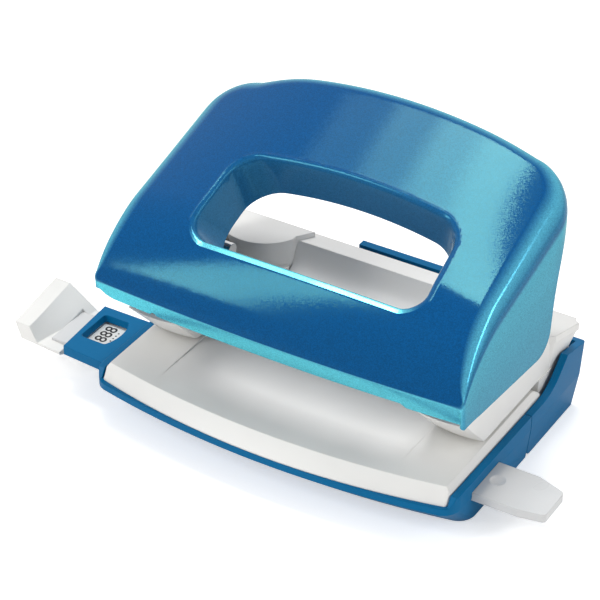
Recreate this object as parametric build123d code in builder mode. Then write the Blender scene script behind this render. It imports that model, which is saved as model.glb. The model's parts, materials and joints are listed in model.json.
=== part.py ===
from build123d import *
from math import cos, pi, radians, sin, sqrt, tan
import os

os.makedirs("parts", exist_ok=True)

# Hole pattern and paper path
hole_spacing = 80.0
punch_diameter = 5.5
paper_margin = 12.0
paper_gap = 1.3
table_height = 15.8

# Front tray
side_reach = 13.5
wall = 2.0
floor_thickness = 1.6
front_reach = 45.8
front_bulge = 5.8
front_corner = 5.0
lip_bottom = 9.4
lip_height = 2.0
sole_reach = 35.3
sole_inset = 1.0
side_height = 13.5
flank_front = 37.6
flank_height = 14.0
flank_run = 1.7
ledge = 1.8
seam = 2.0
seam_gap = 0.3

# Rear tray
rear_sole = 29.5
rear_lean = 3.4
rear_corner = 1.0
shoulder_start = 8.8
shoulder_bend = 17.4
shoulder_bend_height = 16.5
shoulder_knee = 22.0
shoulder_height = 20.6
rear_height = 18.4
tongue_left = 14.6
tongue_right = 12.0
tongue_root = 4.0
tongue_front = 31.2
tongue_thickness = 2.4
tongue_top = 26.8
hinge_radius = 2.2
hinge_pin = 2.0
hinge_lug = 1.5
hinge_play = 0.3

# Paper table
table_fit = 0.3
table_skin = 2.4
table_front = 36.6
table_bow = 5.4
table_foot = 39.2
table_foot_bow = 6.4
bevel_width = 1.2
bevel_drop = 1.8
recess_inset = 4.5
recess_start = 36.0
recess_depth = 1.2
table_end_gap = 0.5
table_end_round = 3.2

# Towers and rear housing
tower_step = 3.5
tower_top = 28.0
tower_wall = 1.2
tower_floor = 1.0
tower_front = 17.7
tower_bow = 0.9
tower_lean = 10.2
tower_inset = 4.3
throat_inset = 9.6
cap_front = 15.5
cap_overhang = 0.3
cap_rear = 28.6
throat_splay = 3.4
cap_throat_start = 24.0
cap_shoulder = 3.0
cap_nose = 2.0
throat_run = 1.5
shelf_front = 9.0
shelf_gap = 0.3
cap_flare = 2.4
body_flare = 0.2
cap_lid = 2.2
cap_edge = 0.4
body_step = 3.2
stop_wall = 1.2
housing_drop = 0.3
housing_toe = 2.0
toe_radius = 2.2
housing_skin = 1.4
rim_wall = 1.2
dish_y = 21.5
dish_rise = 2.5
rim_height = 26.5
rim_front = 24.7
rim_rear = 30.2

# Punch frames
steel = 1.5
frame_inset = 4.2
frame_room = 4.2
frame_front = 8.0
foot_front = 15.0
frame_rise = 0.5
pivot_y = 23.0
pivot_z = 18.0
ear_radius = 4.4
axle_diameter = 4.0
running_fit = 0.03
die_diameter = 7.4
die_clearance = 0.06
die_relief = 6.4
die_land = 1.6
sleeve_diameter = 6.8
sleeve_top = 21.4
screw_thread = 2.5
screw_head = 4.8
screw_length = 8.0
screw_y = -11.5
screw_reach = 3.0

# Punches and springs
washer_diameter = 9.2
washer_thickness = 0.7
clip_diameter = 7.6
clip_thickness = 0.6
groove_depth = 0.4
crown_height = 1.2
press_gap = 0.3
stud_diameter = 4.0
stud_y = 1.8
stud_z = 33.7
stud_gap = 0.8
wire = 0.7
spring_turns = 4
spring_radius = 4.0
seat_gap = 0.1
coil_gap = 0.45

# Lever
sheet = 1.2
flank_lean = 1.8
lever_base = 25.0
lever_fold = 5.5
crease_y = -37.4
crease_z = 41.0
bend_y = -29.6
bend_z = 52.7
brow_y = -18.0
brow_z = 59.2
back_y = 32.0
back_z = 75.0
crease_bow = 2.0
bend_bow = 2.2
bend_crown = 2.4
brow_bow = 1.5
brow_crown = 4.9
back_crown = 8.0
lip_tuck = 0.36
edge_front_z = 34.3
edge_rear_y = 2.4
edge_rear_z = 31.0
lever_rear = 26.4
lever_rear_bow = 1.1
lever_corner = 14.0
edge_step_y = -35.1
heel_bend_y = 7.6
heel_bend_z = 33.0
heel_y = 9.6
heel_z = 37.5
notch_bend_y = 12.6
notch_bend_z = 50.5
notch_y = 19.0
notch_z = 65.0
notch_rear_y = 24.5
notch_rear_z = 69.0
notch_end_z = 74.6
rear_lip = 6.0
rear_lip_half = 44.0
grip_x = 2.4
grip_half_width = 33.6
grip_rear_half_width = 32.2
grip_height = 28.0
grip_rear_bow = 2.0
grip_y = -16.5
grip_z = 62.7
grip_slope = 23.5
grip_corner = 6.5
grip_depth = 11.0
grip_draft = 8.0
arm_gap = 0.2
arm_front = -6.0
arm_rear = 9.0
arm_flange = 7.0
arm_boss = 4.0
arm_heel_y = 19.5
arm_heel_z = 15.6
arm_belly_y = 8.5
arm_belly_z = 24.5
arm_chin_y = 3.6
arm_chin_z = 32.2
arm_toe_y = -1.0
arm_toe_z = 33.6
arm_neck_z = 45.0
arm_back_step = 3.0
arm_back_y = 14.4
arm_back_z = 29.5
arm_waist_y = 15.0
arm_waist_z = 24.6
rivet_head = 6.0
rivet_height = 0.8

# Edge guide
bar_width = 14.4
bar_thickness = 2.4
bar_y = -22.5
bar_z = 8.0
bar_left = -74.6
bar_right = 72.8
bar_gap = 0.25
tab_front_cut = 7.0
tab_front_step = 1.4
tab_rear_cut = 8.0
tab_rear_step = 2.6
tab_round = 1.2
slope_start = 64.6
slope_end = 70.4
slope_drop = 0.9
lip_start = 71.4
dimple_x = 56.5
dimple_y = -22.0
dimple_rise = 1.9
dimple_radius = 2.8
label_thickness = 0.2
label_width = 11.0
label_left = -67.0
label_right = 22.0
rib_count = 5
rib_pitch = 20.0
rib_thickness = 1.6
guide_left = 68.6
guide_left_front = 67.3
guide_rear = 13.2
guide_front = 35.4
guide_top = 13.1
guide_side = 2.8
guide_bottom = 6.6
guide_undercut = 4.2
guide_roof = 1.9
window_left = 65.8
window_right = 58.6
window_bulge = 1.3
window_front = 27.6
window_rear = 16.8
stop_left = 85.6
stop_left_front = 83.9
stop_right = 69.6
stop_rear = -12.2
stop_front = -33.2
stop_top = 16.0
stop_top_front = 14.5
stop_ridge = 4.8
stop_foot = 6.9
stop_floor = 1.0
stop_heel = 5.5
stop_slope = 72.0
stop_nose = 3.6
nose_ridge = 79.3
nose_slope = 76.2
nose_heel = 4.5
tip_ridge = 79.2
tip_slope = 76.9
tip_toe = 82.2
tip_depth = 0.8

punch_x = hole_spacing / 2
half_width = punch_x + side_reach
lever_half_width = half_width
body_half_width = half_width - body_step
tower_half_width = half_width - tower_step
tower_inner_front = punch_x - tower_inset
tower_inner_rear = punch_x - throat_inset
cap_side = half_width + cap_overhang
cap_throat = tower_inner_rear - throat_splay
recess_half_width = punch_x - recess_inset
frame_inner = punch_x - frame_inset
frame_outer = body_half_width - frame_room
stud_end = frame_inner + stud_gap
lip_top = lip_bottom + lip_height
slot_top = table_height + paper_gap
table_under = table_height - table_skin
frame_low = table_under - steel
housing_low = frame_low - housing_drop
frame_high = slot_top + frame_rise
frame_back = paper_margin + stop_wall
spring_seat = frame_high + steel
head_top = stud_z - stud_diameter / 2 - press_gap
clip_top = head_top - crown_height
washer_top = clip_top - clip_thickness
washer_low = washer_top - washer_thickness
tip_z = frame_high + frame_rise
hinge_y = seam + seam_gap + hinge_radius
hinge_z = hinge_radius
tray_inner = half_width - wall
table_half = tray_inner - table_fit
front_slope = (front_reach - sole_reach) / lip_bottom
rear_slope = rear_lean / rear_height
tower_slant = (tower_inner_front - tower_inner_rear) / (tower_front + cap_throat_start - 3)
arm_inner = frame_outer + arm_gap
arm_outer = arm_inner + sheet
arm_top = back_z + back_crown
lever_slope = tan(radians(flank_lean))


def across(piece):
    """The same piece on the other side of the punch."""
    with BuildPart() as other:
        add(piece.part)
        mirror(about=Plane.YZ, mode=Mode.REPLACE)
    return other


def save(piece, label):
    """Label a finished piece and write it."""
    piece.part.label = label
    export_step(piece.part, f"parts/{label}.step")


def bowed(reach, bulge, half, rear, corner=0.0):
    """Straight sides and rear with a bowed front."""
    with BuildLine() as line:
        side = Polyline((-half, -reach + bulge), (-half, rear), (half, rear), (half, -reach + bulge))
        ThreePointArc(side @ 1, (0, -reach), side @ 0)
    make_face(line.edges())
    if corner > 0:
        fillet(vertices().group_by(Axis.Y)[0], corner)


def slab(x0, x1, y0, y1, z0, z1, mode=Mode.ADD):
    """Plain block between six faces."""
    with BuildSketch(Plane.XY.offset(z0)) as plan:
        with Locations(((x0 + x1) / 2, (y0 + y1) / 2)):
            Rectangle(x1 - x0, y1 - y0)
    extrude(plan.sketch, amount=z1 - z0, mode=mode)


def side_cut(points, x0, x1, mode=Mode.SUBTRACT):
    """Block whose outline is drawn in the side view."""
    with BuildSketch(Plane.YZ.offset(x0)) as view:
        Polygon(*points, align=None)
    extrude(view.sketch, amount=x1 - x0, mode=mode)


def cap_outline(side, flare):
    """Plan of a tower's rear cap on the right."""
    with BuildLine() as line:
        throat = Polyline((cap_throat, cap_rear), (tower_inner_rear, cap_throat_start),
                          (tower_inner_rear, cap_throat_start - throat_run))
        nose = ThreePointArc(throat @ 1, (punch_x - cap_nose, cap_front), (side - flare, cap_front + cap_shoulder))
        flank = Line(nose @ 1, (side, cap_rear - 1.6))
        tail = RadiusArc(flank @ 1, (side - 1.6, cap_rear), 1.6)
        Line(tail @ 1, throat @ 0)
    make_face(line.edges())


# Front tray with the guide housing
with BuildPart() as base_tray:
    with BuildSketch():
        bowed(sole_reach, front_bulge, half_width - sole_inset, seam, front_corner)
    with BuildSketch(Plane.XY.offset(lip_bottom)) as rim_plan:
        bowed(front_reach, front_bulge, half_width, seam, front_corner)
    loft()
    extrude(rim_plan.sketch, amount=flank_height - lip_bottom)
    inner_low = sole_reach + front_slope * floor_thickness - 1.45 * wall
    with BuildSketch(Plane.XY.offset(floor_thickness)):
        bowed(inner_low, front_bulge, half_width - sole_inset - wall, seam + wall, front_corner)
    with BuildSketch(Plane.XY.offset(lip_bottom)):
        bowed(front_reach - 1.45 * wall, front_bulge, tray_inner, seam + wall, front_corner)
    loft(mode=Mode.SUBTRACT)
    with BuildSketch(Plane.XY.offset(lip_bottom)):
        bowed(front_reach - wall - ledge, front_bulge, tray_inner - ledge, seam + wall, front_corner)
    extrude(amount=lip_height, mode=Mode.SUBTRACT)
    slab(-tray_inner, tray_inner, -front_reach, seam, lip_top, flank_height, Mode.SUBTRACT)
    flank_foot = -flank_front - flank_run
    side_cut([(-50, lip_top), (flank_foot, lip_top), (-flank_front, flank_height), (seam, side_height),
              (seam, flank_height + 1), (-50, flank_height + 1)], -half_width, half_width)
    # Guide housing on the left
    side_top = guide_top - guide_side
    with BuildSketch(Plane.XY.offset(guide_bottom)):
        inset = guide_undercut
        Polygon((-tray_inner, -guide_rear - inset), (-guide_left + inset, -guide_rear - inset),
                (-guide_left_front + inset, -guide_front + inset + 1), (-tray_inner, -guide_front + inset),
                align=None)
    with BuildSketch(Plane.XY.offset(side_top)) as guide_plan:
        Polygon((-tray_inner, -guide_rear), (-guide_left, -guide_rear),
                (-guide_left_front, -guide_front + 1.2), (-tray_inner, -guide_front), align=None)
    loft()
    extrude(guide_plan.sketch, amount=guide_side)
    # Guide channel through both side walls and the ribs that carry the bar
    channel_z = bar_z - bar_gap
    channel_half = bar_width / 2 + bar_gap
    with Locations(*[((i - (rib_count - 1) / 2) * rib_pitch, bar_y, 0) for i in range(rib_count)]):
        Box(rib_thickness, bar_width + 4, bar_z + bar_thickness,
            align=(Align.CENTER, Align.CENTER, Align.MIN))
    slab(-guide_left - 5, -tray_inner + ledge + 1, bar_y - channel_half, bar_y + channel_half,
         channel_z, guide_top - guide_roof, Mode.SUBTRACT)
    slab(-tray_inner, half_width + 1, bar_y - channel_half, bar_y + channel_half,
         channel_z, bar_z + bar_thickness + bar_gap, Mode.SUBTRACT)
    with BuildSketch(Plane.XY.offset(guide_top - guide_roof)):
        with BuildLine():
            sill = Polyline((-window_right, -window_front), (-window_left, -window_front),
                            (-window_left, -window_rear), (-window_right, -window_rear))
            ThreePointArc(sill @ 1, (-window_right + window_bulge, (-window_front - window_rear) / 2),
                          sill @ 0)
        make_face()
        fillet(vertices(), 0.6)
    extrude(amount=guide_roof, taper=-12, mode=Mode.SUBTRACT)
    # Bosses for the frame screws and chutes below the dies
    for side in (-1, 1):
        with Locations(*[(side * (punch_x + 1 + k * screw_reach), screw_y, 0) for k in (-1, 1)]):
            Cylinder(2.7, frame_low, align=(Align.CENTER, Align.CENTER, Align.MIN))
        with Locations(*[(side * (punch_x + 1 + k * screw_reach), screw_y, frame_low) for k in (-1, 1)]):
            Cylinder(screw_thread / 2 - 0.1, screw_length, mode=Mode.SUBTRACT,
                     align=(Align.CENTER, Align.CENTER, Align.MAX))
        side_cut([(-5.5, floor_thickness), (seam, floor_thickness), (-5.5, 8.4)],
                 side * punch_x - 4, side * punch_x + 4, Mode.ADD)
        # Lug that carries the rear tray's hinge pin
        lug_out = half_width - sole_inset - wall - hinge_play
        lug_in = lug_out - hinge_lug
        low = min(side * lug_in, side * lug_out)
        with BuildSketch(Plane.YZ.offset(low)):
            with Locations((hinge_y, hinge_z)):
                Circle(hinge_radius - 0.4)
            Polygon((-8, 0.4), (hinge_y, 0.4), (hinge_y, 2 * hinge_z - 0.4), (-8, 2 * hinge_z - 0.4),
                    align=None)
        extrude(amount=hinge_lug)
    with BuildSketch(Plane.YZ):
        with Locations((hinge_y, hinge_z)):
            Circle(hinge_pin / 2)
    extrude(amount=half_width, both=True, mode=Mode.SUBTRACT)

# Pins of the rear tray's hinge
with BuildPart() as hinge_pins:
    for side in (-1, 1):
        with Locations((side * (lug_in + lug_out + 1.4) / 2, hinge_y, hinge_z)):
            Cylinder(hinge_pin / 2, hinge_lug + 1.4, rotation=(0, 90, 0))

# Rear tray that opens downward for the chips
with BuildPart() as chip_tray:
    tray_front = seam + seam_gap
    rear_mid = rear_sole + rear_slope * lip_bottom
    rear_top = rear_sole + rear_slope * shoulder_height
    stations = ((0, half_width - sole_inset, rear_sole), (lip_bottom, half_width, rear_mid),
                (shoulder_height, half_width, rear_top))
    for (z0, w0, r0), (z1, w1, r1) in zip(stations, stations[1:]):
        for z, w, r in ((z0, w0, r0), (z1, w1, r1)):
            with BuildSketch(Plane.XY.offset(z)):
                with Locations((0, (r + tray_front) / 2)):
                    Rectangle(2 * w, r - tray_front)
                fillet(vertices().group_by(Axis.Y)[-1], rear_corner)
        loft(ruled=True)
    for (z0, w0, r0), (z1, w1, r1) in zip(stations, stations[1:]):
        for z, w, r in ((max(z0, floor_thickness), w0, r0), (z1, w1, r1)):
            with BuildSketch(Plane.XY.offset(z)):
                with Locations((0, (r - wall) / 2)):
                    Rectangle(2 * (w - wall), r - wall)
                fillet(vertices().group_by(Axis.Y)[-1], rear_corner / 2)
        loft(ruled=True, mode=Mode.SUBTRACT)
    with BuildSketch(Plane.YZ):
        with BuildLine():
            start = Line((0, side_height), (shoulder_start, side_height))
            rise = Spline(start @ 1, (shoulder_bend, shoulder_bend_height),
                          (shoulder_knee, shoulder_height), tangents=((1, 0), (1, 1)))
            Polyline(rise @ 1, (rear_top + 1, rear_height), (rear_top + 1, shoulder_height + 5),
                     (0, shoulder_height + 5), start @ 0)
        make_face()
    extrude(amount=half_width, both=True, mode=Mode.SUBTRACT)
    slab(-tongue_left, tongue_right, tongue_front, tongue_front + tongue_thickness,
         rear_height - tongue_root, tongue_top)
    # Rounding about the hinge axis, notches for the lugs and blind bores for the pins
    with BuildSketch(Plane.YZ):
        Polygon((tray_front - 1, -1), (hinge_y, -1), (hinge_y, hinge_z), (tray_front - 1, hinge_z),
                align=None)
        with Locations((hinge_y, hinge_z)):
            Circle(hinge_radius, mode=Mode.SUBTRACT)
    extrude(amount=half_width, both=True, mode=Mode.SUBTRACT)
    for side in (-1, 1):
        notch = sorted((side * (lug_in - hinge_play), side * (half_width - sole_inset - wall)))
        slab(notch[0], notch[1], 0, hinge_y + hinge_radius, 0, floor_thickness, Mode.SUBTRACT)
        with Locations((side * (lug_in + lug_out + 2) / 2, hinge_y, hinge_z)):
            Cylinder(hinge_pin / 2 + running_fit, hinge_lug + 2, rotation=(0, 90, 0), mode=Mode.SUBTRACT)

# Paper table with its bevelled front
with BuildPart() as paper_table:
    table_end = paper_margin - table_end_gap
    with BuildSketch(Plane.XY.offset(lip_top)):
        bowed(table_foot + table_foot_bow, table_foot_bow, table_half, table_end, 1.2)
    with BuildSketch(Plane.XY.offset(table_height)):
        bowed(table_front + table_bow, table_bow, table_half, table_end, 1.2)
    loft()
    with BuildSketch(Plane.XY.offset(lip_top)):
        bowed(table_foot + table_foot_bow - 2, table_foot_bow, table_half - 1.6, table_end + 1, 1.2)
    with BuildSketch(Plane.XY.offset(table_under)):
        bowed(table_front + table_bow, table_bow, table_half - 1.6, table_end + 1, 1.2)
    loft(mode=Mode.SUBTRACT)
    side_cut([(table_end - 2, lip_top), (table_end, lip_top), (table_end, table_height),
              (table_end - 2, table_height)], -table_half, table_half, Mode.ADD)
    for side in (-1, 1):
        with BuildSketch(Plane.XZ.offset(-table_end)):
            Polygon((side * (table_half - bevel_width), table_height), (side * table_half, table_height),
                    (side * table_half, table_height - bevel_drop), align=None)
        extrude(amount=table_end + front_reach, mode=Mode.SUBTRACT)
    side_cut([(-recess_start, table_height), (table_end + 1, table_height),
              (table_end + 1, table_height - recess_depth)], -recess_half_width, recess_half_width)
    with Locations((-punch_x, 0, 0), (punch_x, 0, 0)):
        Cylinder(die_diameter / 2, 2 * table_height, mode=Mode.SUBTRACT)
    side_cut([(frame_back + steel, frame_low), (-foot_front, frame_low), (-foot_front, table_under),
              (frame_back + steel, table_under)], frame_inner, frame_outer)
    side_cut([(frame_back + steel, frame_low), (-foot_front, frame_low), (-foot_front, table_under),
              (frame_back + steel, table_under)], -frame_outer, -frame_inner)
    with BuildSketch(Plane.YZ):
        with BuildLine():
            corner = Line((table_end, table_height - table_end_round), (table_end, table_height))
            top = Line(corner @ 1, (table_end - table_end_round, table_height))
            RadiusArc(top @ 1, corner @ 0, table_end_round)
        make_face()
    extrude(amount=table_half, both=True, mode=Mode.SUBTRACT)

# Rear housing with the paper stop and the rim between the towers
with BuildPart() as rear_housing:
    slab(-body_half_width, body_half_width, paper_margin, rim_rear, housing_low, slot_top)
    slab(-body_half_width + tower_wall, body_half_width - tower_wall, frame_back, rim_rear - housing_skin,
         housing_low, slot_top, Mode.SUBTRACT)
    with BuildSketch(Plane.YZ.offset(-tower_inner_rear)):
        with BuildLine():
            face = Line((paper_margin, housing_low + housing_toe), (paper_margin, slot_top - housing_toe))
            toe = ThreePointArc(face @ 1, (paper_margin + 0.7, slot_top - 0.6),
                                (paper_margin + toe_radius, slot_top + 0.5))
            dish = Spline(toe @ 1, (dish_y, slot_top + dish_rise), (rim_front, rim_height),
                          tangents=((1, 0.1), (0.3, 1)))
            Polyline(dish @ 1, (rim_rear, rim_height), (rim_rear, housing_low + housing_toe), face @ 0)
        make_face()
    extrude(amount=2 * tower_inner_rear)
    with BuildSketch(Plane.YZ.offset(-tower_inner_rear + rim_wall)):
        with BuildLine():
            face = Line((frame_back, housing_low), (frame_back, slot_top - 0.9))
            dish = Spline(face @ 1, (dish_y, slot_top + dish_rise - housing_skin),
                          (rim_front + housing_skin, rim_height - housing_skin),
                          tangents=((1, 0.1), (0.3, 1)))
            Polyline(dish @ 1, (rim_rear - housing_skin, rim_height - housing_skin),
                     (rim_rear - housing_skin, housing_low), face @ 0)
        make_face()
    extrude(amount=2 * (tower_inner_rear - rim_wall), mode=Mode.SUBTRACT)
    slab(-body_half_width, body_half_width, rim_rear - 1.5, rim_rear, housing_low, slot_top - 1,
         Mode.SUBTRACT)
    slab(frame_inner, frame_outer, paper_margin, frame_back + steel, housing_low, table_under, Mode.SUBTRACT)
    slab(-frame_outer, -frame_inner, paper_margin, frame_back + steel, housing_low, table_under, Mode.SUBTRACT)
    for side in (-1, 1):
        with BuildSketch(Plane.XY.offset(slot_top)) as cap_space:
            cap_outline(cap_side, cap_flare)
            if side < 0:
                mirror(about=Plane.YZ, mode=Mode.REPLACE)
        extrude(amount=20, mode=Mode.SUBTRACT)


def tower_plan(z, inset):
    """Plan of a tower's front part at one height, drawn inward by the wall."""
    lean = tower_lean * (z - slot_top) / (tower_top - slot_top)
    drop = inset * (1.4 if inset else 1)
    front = -tower_front - lean + drop
    inner = tower_inner_front - tower_slant * (0.3 * lean) + inset
    rear_inner = tower_inner_rear + inset
    with BuildSketch(Plane.XY.offset(z)) as plan:
        with BuildLine():
            sides = Polyline((inner, front), (rear_inner, cap_throat_start - 3), (rear_inner, cap_throat_start),
                             (tower_half_width - inset, cap_throat_start), (tower_half_width - inset, front))
            ThreePointArc(sides @ 1, ((inner + tower_half_width) / 2, front - tower_bow), sides @ 0)
        make_face()
    return plan.sketch


# Tower cover on the right
with BuildPart() as right_tower_cover:
    loft([tower_plan(slot_top, 0), tower_plan(tower_top, 0)], ruled=True)
    loft([tower_plan(slot_top + tower_floor, tower_wall), tower_plan(tower_top, tower_wall)], ruled=True,
         mode=Mode.SUBTRACT)
    slab(0, 2 * punch_x, cap_front + 5, 2 * cap_rear, slot_top, tower_top, Mode.SUBTRACT)
    # Low shelf behind the spring, closed by the cap's front wall
    shelf_low = spring_seat + shelf_gap
    shelf_top = shelf_low + tower_wall
    slab(0, frame_outer, shelf_front, 2 * cap_rear, shelf_top, tower_top, Mode.SUBTRACT)
    slab(tower_inner_rear + tower_wall, frame_outer - shelf_gap, shelf_front, cap_throat_start - throat_run,
         shelf_low, shelf_top)
    cap_low = tower_top - cap_lid
    with BuildSketch(Plane.XY.offset(slot_top)) as cap_foot:
        cap_outline(body_half_width, body_flare)
    with BuildSketch(Plane.XY.offset(cap_low)) as cap_neck:
        cap_outline(cap_side - cap_edge, cap_flare)
    loft([cap_foot.sketch, cap_neck.sketch], ruled=True)
    with BuildSketch(Plane.XY.offset(cap_low)):
        cap_outline(cap_side, cap_flare)
    extrude(amount=cap_lid)
    with BuildSketch(Plane.XY.offset(slot_top)) as foot_space:
        cap_outline(body_half_width, body_flare)
        offset(amount=-tower_wall)
    with BuildSketch(Plane.XY.offset(cap_low)) as neck_space:
        cap_outline(cap_side - cap_edge, cap_flare)
        offset(amount=-tower_wall)
    loft([foot_space.sketch, neck_space.sketch], ruled=True, mode=Mode.SUBTRACT)
    slab(frame_outer - shelf_gap, tower_half_width - tower_wall, cap_front - 1, cap_front + 4,
         slot_top, cap_low, Mode.SUBTRACT)
    slab(frame_inner - 0.2, frame_outer + 0.3, -frame_front - 0.2, cap_front + 6, slot_top, spring_seat,
         Mode.SUBTRACT)
    slab(frame_inner - 0.2, frame_outer + 0.3, cap_front, cap_front + 6, slot_top, shelf_low, Mode.SUBTRACT)
    slab(frame_outer - 1, tower_half_width - tower_wall, shelf_front, cap_front + 6, slot_top, spring_seat,
         Mode.SUBTRACT)
    slab(frame_inner - 1.2, tower_half_width - tower_wall, cap_front + 2, cap_front + 6, slot_top,
         spring_seat, Mode.SUBTRACT)
left_tower_cover = across(right_tower_cover)

# Punch frame on the right, folded from one strip
with BuildPart() as right_frame:
    slab(frame_inner, frame_outer, -frame_front, frame_back + steel, frame_high, spring_seat)
    slab(frame_inner, frame_outer, frame_back, frame_back + steel, frame_low, spring_seat)
    slab(frame_inner, frame_outer, -foot_front, frame_back + steel, frame_low, table_under)
    for x in (frame_inner, frame_outer - steel):
        with BuildSketch(Plane.YZ.offset(x)):
            with Locations((pivot_y, pivot_z)):
                Circle(ear_radius)
            Polygon((frame_back, pivot_z - ear_radius), (pivot_y, pivot_z - ear_radius),
                    (pivot_y, pivot_z + ear_radius), (frame_back + 4, spring_seat), (frame_back, spring_seat),
                    align=None)
        extrude(amount=steel)
    with Locations((punch_x, 0, 0)):
        Cylinder(sleeve_diameter / 2, 2 * tower_top, mode=Mode.SUBTRACT)
    with BuildSketch(Plane.XY.offset(frame_low)):
        with Locations((punch_x, 0)):
            Circle(die_diameter / 2)
    extrude(amount=steel, mode=Mode.SUBTRACT)
    with BuildSketch(Plane.YZ):
        with Locations((pivot_y, pivot_z)):
            Circle(axle_diameter / 2)
    extrude(amount=half_width, mode=Mode.SUBTRACT)
    with Locations(*[(punch_x + 1 + k * screw_reach, screw_y, table_under) for k in (-1, 1)]):
        CounterSinkHole(screw_thread / 2, screw_head / 2, depth=2 * steel)
    fillet(edges().filter_by(Axis.Z).group_by(Axis.Y)[0], 1.5)
left_frame = across(right_frame)

# Countersunk screws of both frames
with BuildPart() as frame_screws:
    for side in (-1, 1):
        for k in (-1, 1):
            with Locations((side * (punch_x + 1 + k * screw_reach), screw_y, table_under)):
                Cylinder(screw_thread / 2 - 0.1, screw_length, align=(Align.CENTER, Align.CENTER, Align.MAX))
                head = (screw_head - screw_thread) / 2
                Cone(screw_thread / 2, screw_head / 2, head, align=(Align.CENTER, Align.CENTER, Align.MAX))
                Box(screw_head * 0.7, 0.6, 1.2, align=(Align.CENTER, Align.CENTER, Align.CENTER),
                    mode=Mode.SUBTRACT)

# Die on the right, flush with the table
with BuildPart() as right_die:
    with BuildSketch(Plane.XZ):
        bore = punch_diameter / 2 + die_clearance
        Polygon((bore, table_height), (die_diameter / 2, table_height), (die_diameter / 2, frame_low),
                (die_relief / 2, frame_low), (die_relief / 2, table_height - die_land - 0.3),
                (bore, table_height - die_land), align=None)
    revolve(axis=Axis.Z)
right_die.part.position = (punch_x, 0, 0)
left_die = across(right_die)

# Guide sleeve on the right
with BuildPart() as right_sleeve:
    with Locations((punch_x, 0, slot_top + 0.2)):
        Cylinder(sleeve_diameter / 2, sleeve_top - slot_top - 0.2,
                 align=(Align.CENTER, Align.CENTER, Align.MIN))
        Cylinder(punch_diameter / 2 + running_fit, tower_top, mode=Mode.SUBTRACT,
                 align=(Align.CENTER, Align.CENTER, Align.MIN))
    chamfer(edges().filter_by(GeomType.CIRCLE).group_by(Axis.Z)[-1].sort_by(SortBy.RADIUS)[-1], 0.3)
left_sleeve = across(right_sleeve)

# Punch on the right with its clip groove, domed head and hollow-ground tip
with BuildPart() as right_punch_pin:
    with Locations((punch_x, 0, tip_z)):
        Cylinder(punch_diameter / 2, head_top - tip_z, align=(Align.CENTER, Align.CENTER, Align.MIN))
    chamfer(edges().group_by(Axis.Z)[-1], 0.5)
    with Locations((punch_x, 0, washer_top)):
        Cylinder(punch_diameter / 2 + 1, clip_thickness, align=(Align.CENTER, Align.CENTER, Align.MIN),
                 mode=Mode.SUBTRACT)
        Cylinder(punch_diameter / 2 - groove_depth, clip_thickness,
                 align=(Align.CENTER, Align.CENTER, Align.MIN))
    with BuildSketch(Plane.XZ):
        with Locations((punch_x, tip_z)):
            Polygon((-1.6, 0), (0, 0.9), (1.6, 0), align=None)
    extrude(amount=punch_diameter, both=True, mode=Mode.SUBTRACT)
left_punch_pin = across(right_punch_pin)

# Washer that carries the spring's load
with BuildPart() as right_spring_washer:
    with Locations((punch_x, 0, washer_low)):
        Cylinder(washer_diameter / 2, washer_thickness, align=(Align.CENTER, Align.CENTER, Align.MIN))
        Cylinder(punch_diameter / 2, washer_thickness, align=(Align.CENTER, Align.CENTER, Align.MIN),
                 mode=Mode.SUBTRACT)
left_spring_washer = across(right_spring_washer)

# Clip in the punch's groove
with BuildPart() as right_pin_clip:
    with BuildSketch(Plane.XY.offset(washer_top)):
        with Locations((punch_x, 0)):
            Circle(clip_diameter / 2)
            Circle(punch_diameter / 2 - groove_depth, mode=Mode.SUBTRACT)
        with Locations((punch_x, -clip_diameter / 2)):
            Rectangle(punch_diameter - 2.2, clip_diameter, mode=Mode.SUBTRACT)
    extrude(amount=clip_thickness)
left_pin_clip = across(right_pin_clip)


def biarc(p0, t0, p1, t1):
    """Point where two tangent arcs meet between two directed points."""
    span = p1 - p0
    total = t0 + t1
    spread = 2 * (1 - t0.dot(t1))
    along = span.dot(total)
    reach = (sqrt(along * along + spread * span.dot(span)) - along) / spread
    return (p0 + t0 * reach + p1 - t1 * reach) * 0.5


# Return spring on the right, closed at both ends
spring_low = spring_seat + wire / 2
spring_high = washer_low - seat_gap - wire / 2
with BuildPart() as right_spring:
    quarter = pi / 2
    steps = 4 * spring_turns
    end_rise = wire + coil_gap
    rises = []
    height = 0.0
    for k in range(steps + 1):
        rises.append(height)
        if k < 3 or k >= steps - 4:
            height += end_rise / 4
        else:
            height += (spring_high - spring_low - 7 * end_rise / 4) / (steps - 7)
    points = []
    tangents = []
    for k in range(steps + 1):
        if k == 0:
            pitch = rises[1] - rises[0]
        elif k == steps:
            pitch = rises[k] - rises[k - 1]
        else:
            pitch = (rises[k + 1] - rises[k - 1]) / 2
        a = k * quarter
        points.append(Vector(punch_x + spring_radius * cos(a), spring_radius * sin(a), spring_low + rises[k]))
        slope = pitch / quarter
        tangents.append(Vector(-spring_radius * sin(a), spring_radius * cos(a), slope).normalized())
    with BuildLine() as coil:
        Line(points[0] - tangents[0] * wire, points[0])
        for k in range(steps):
            middle = biarc(points[k], tangents[k], points[k + 1], tangents[k + 1])
            first = TangentArc(points[k], middle, tangent=tangents[k])
            TangentArc(first @ 1, points[k + 1], tangent=first % 1)
        Line(points[-1], points[-1] + tangents[-1] * wire)
    route = coil.wire()
    with BuildSketch(Plane(origin=route @ 0, z_dir=route % 0)):
        Circle(wire / 2)
    sweep(path=route)
left_spring = across(right_spring)
samples = [route @ (i / 400) for i in range(401)]
apart = int(5 * wire / route.length * 400) + 1
gap = min((p - q).length for i, p in enumerate(samples) for q in samples[i + apart:])
print("least gap of the spring to itself", round(gap - wire, 3))

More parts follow.
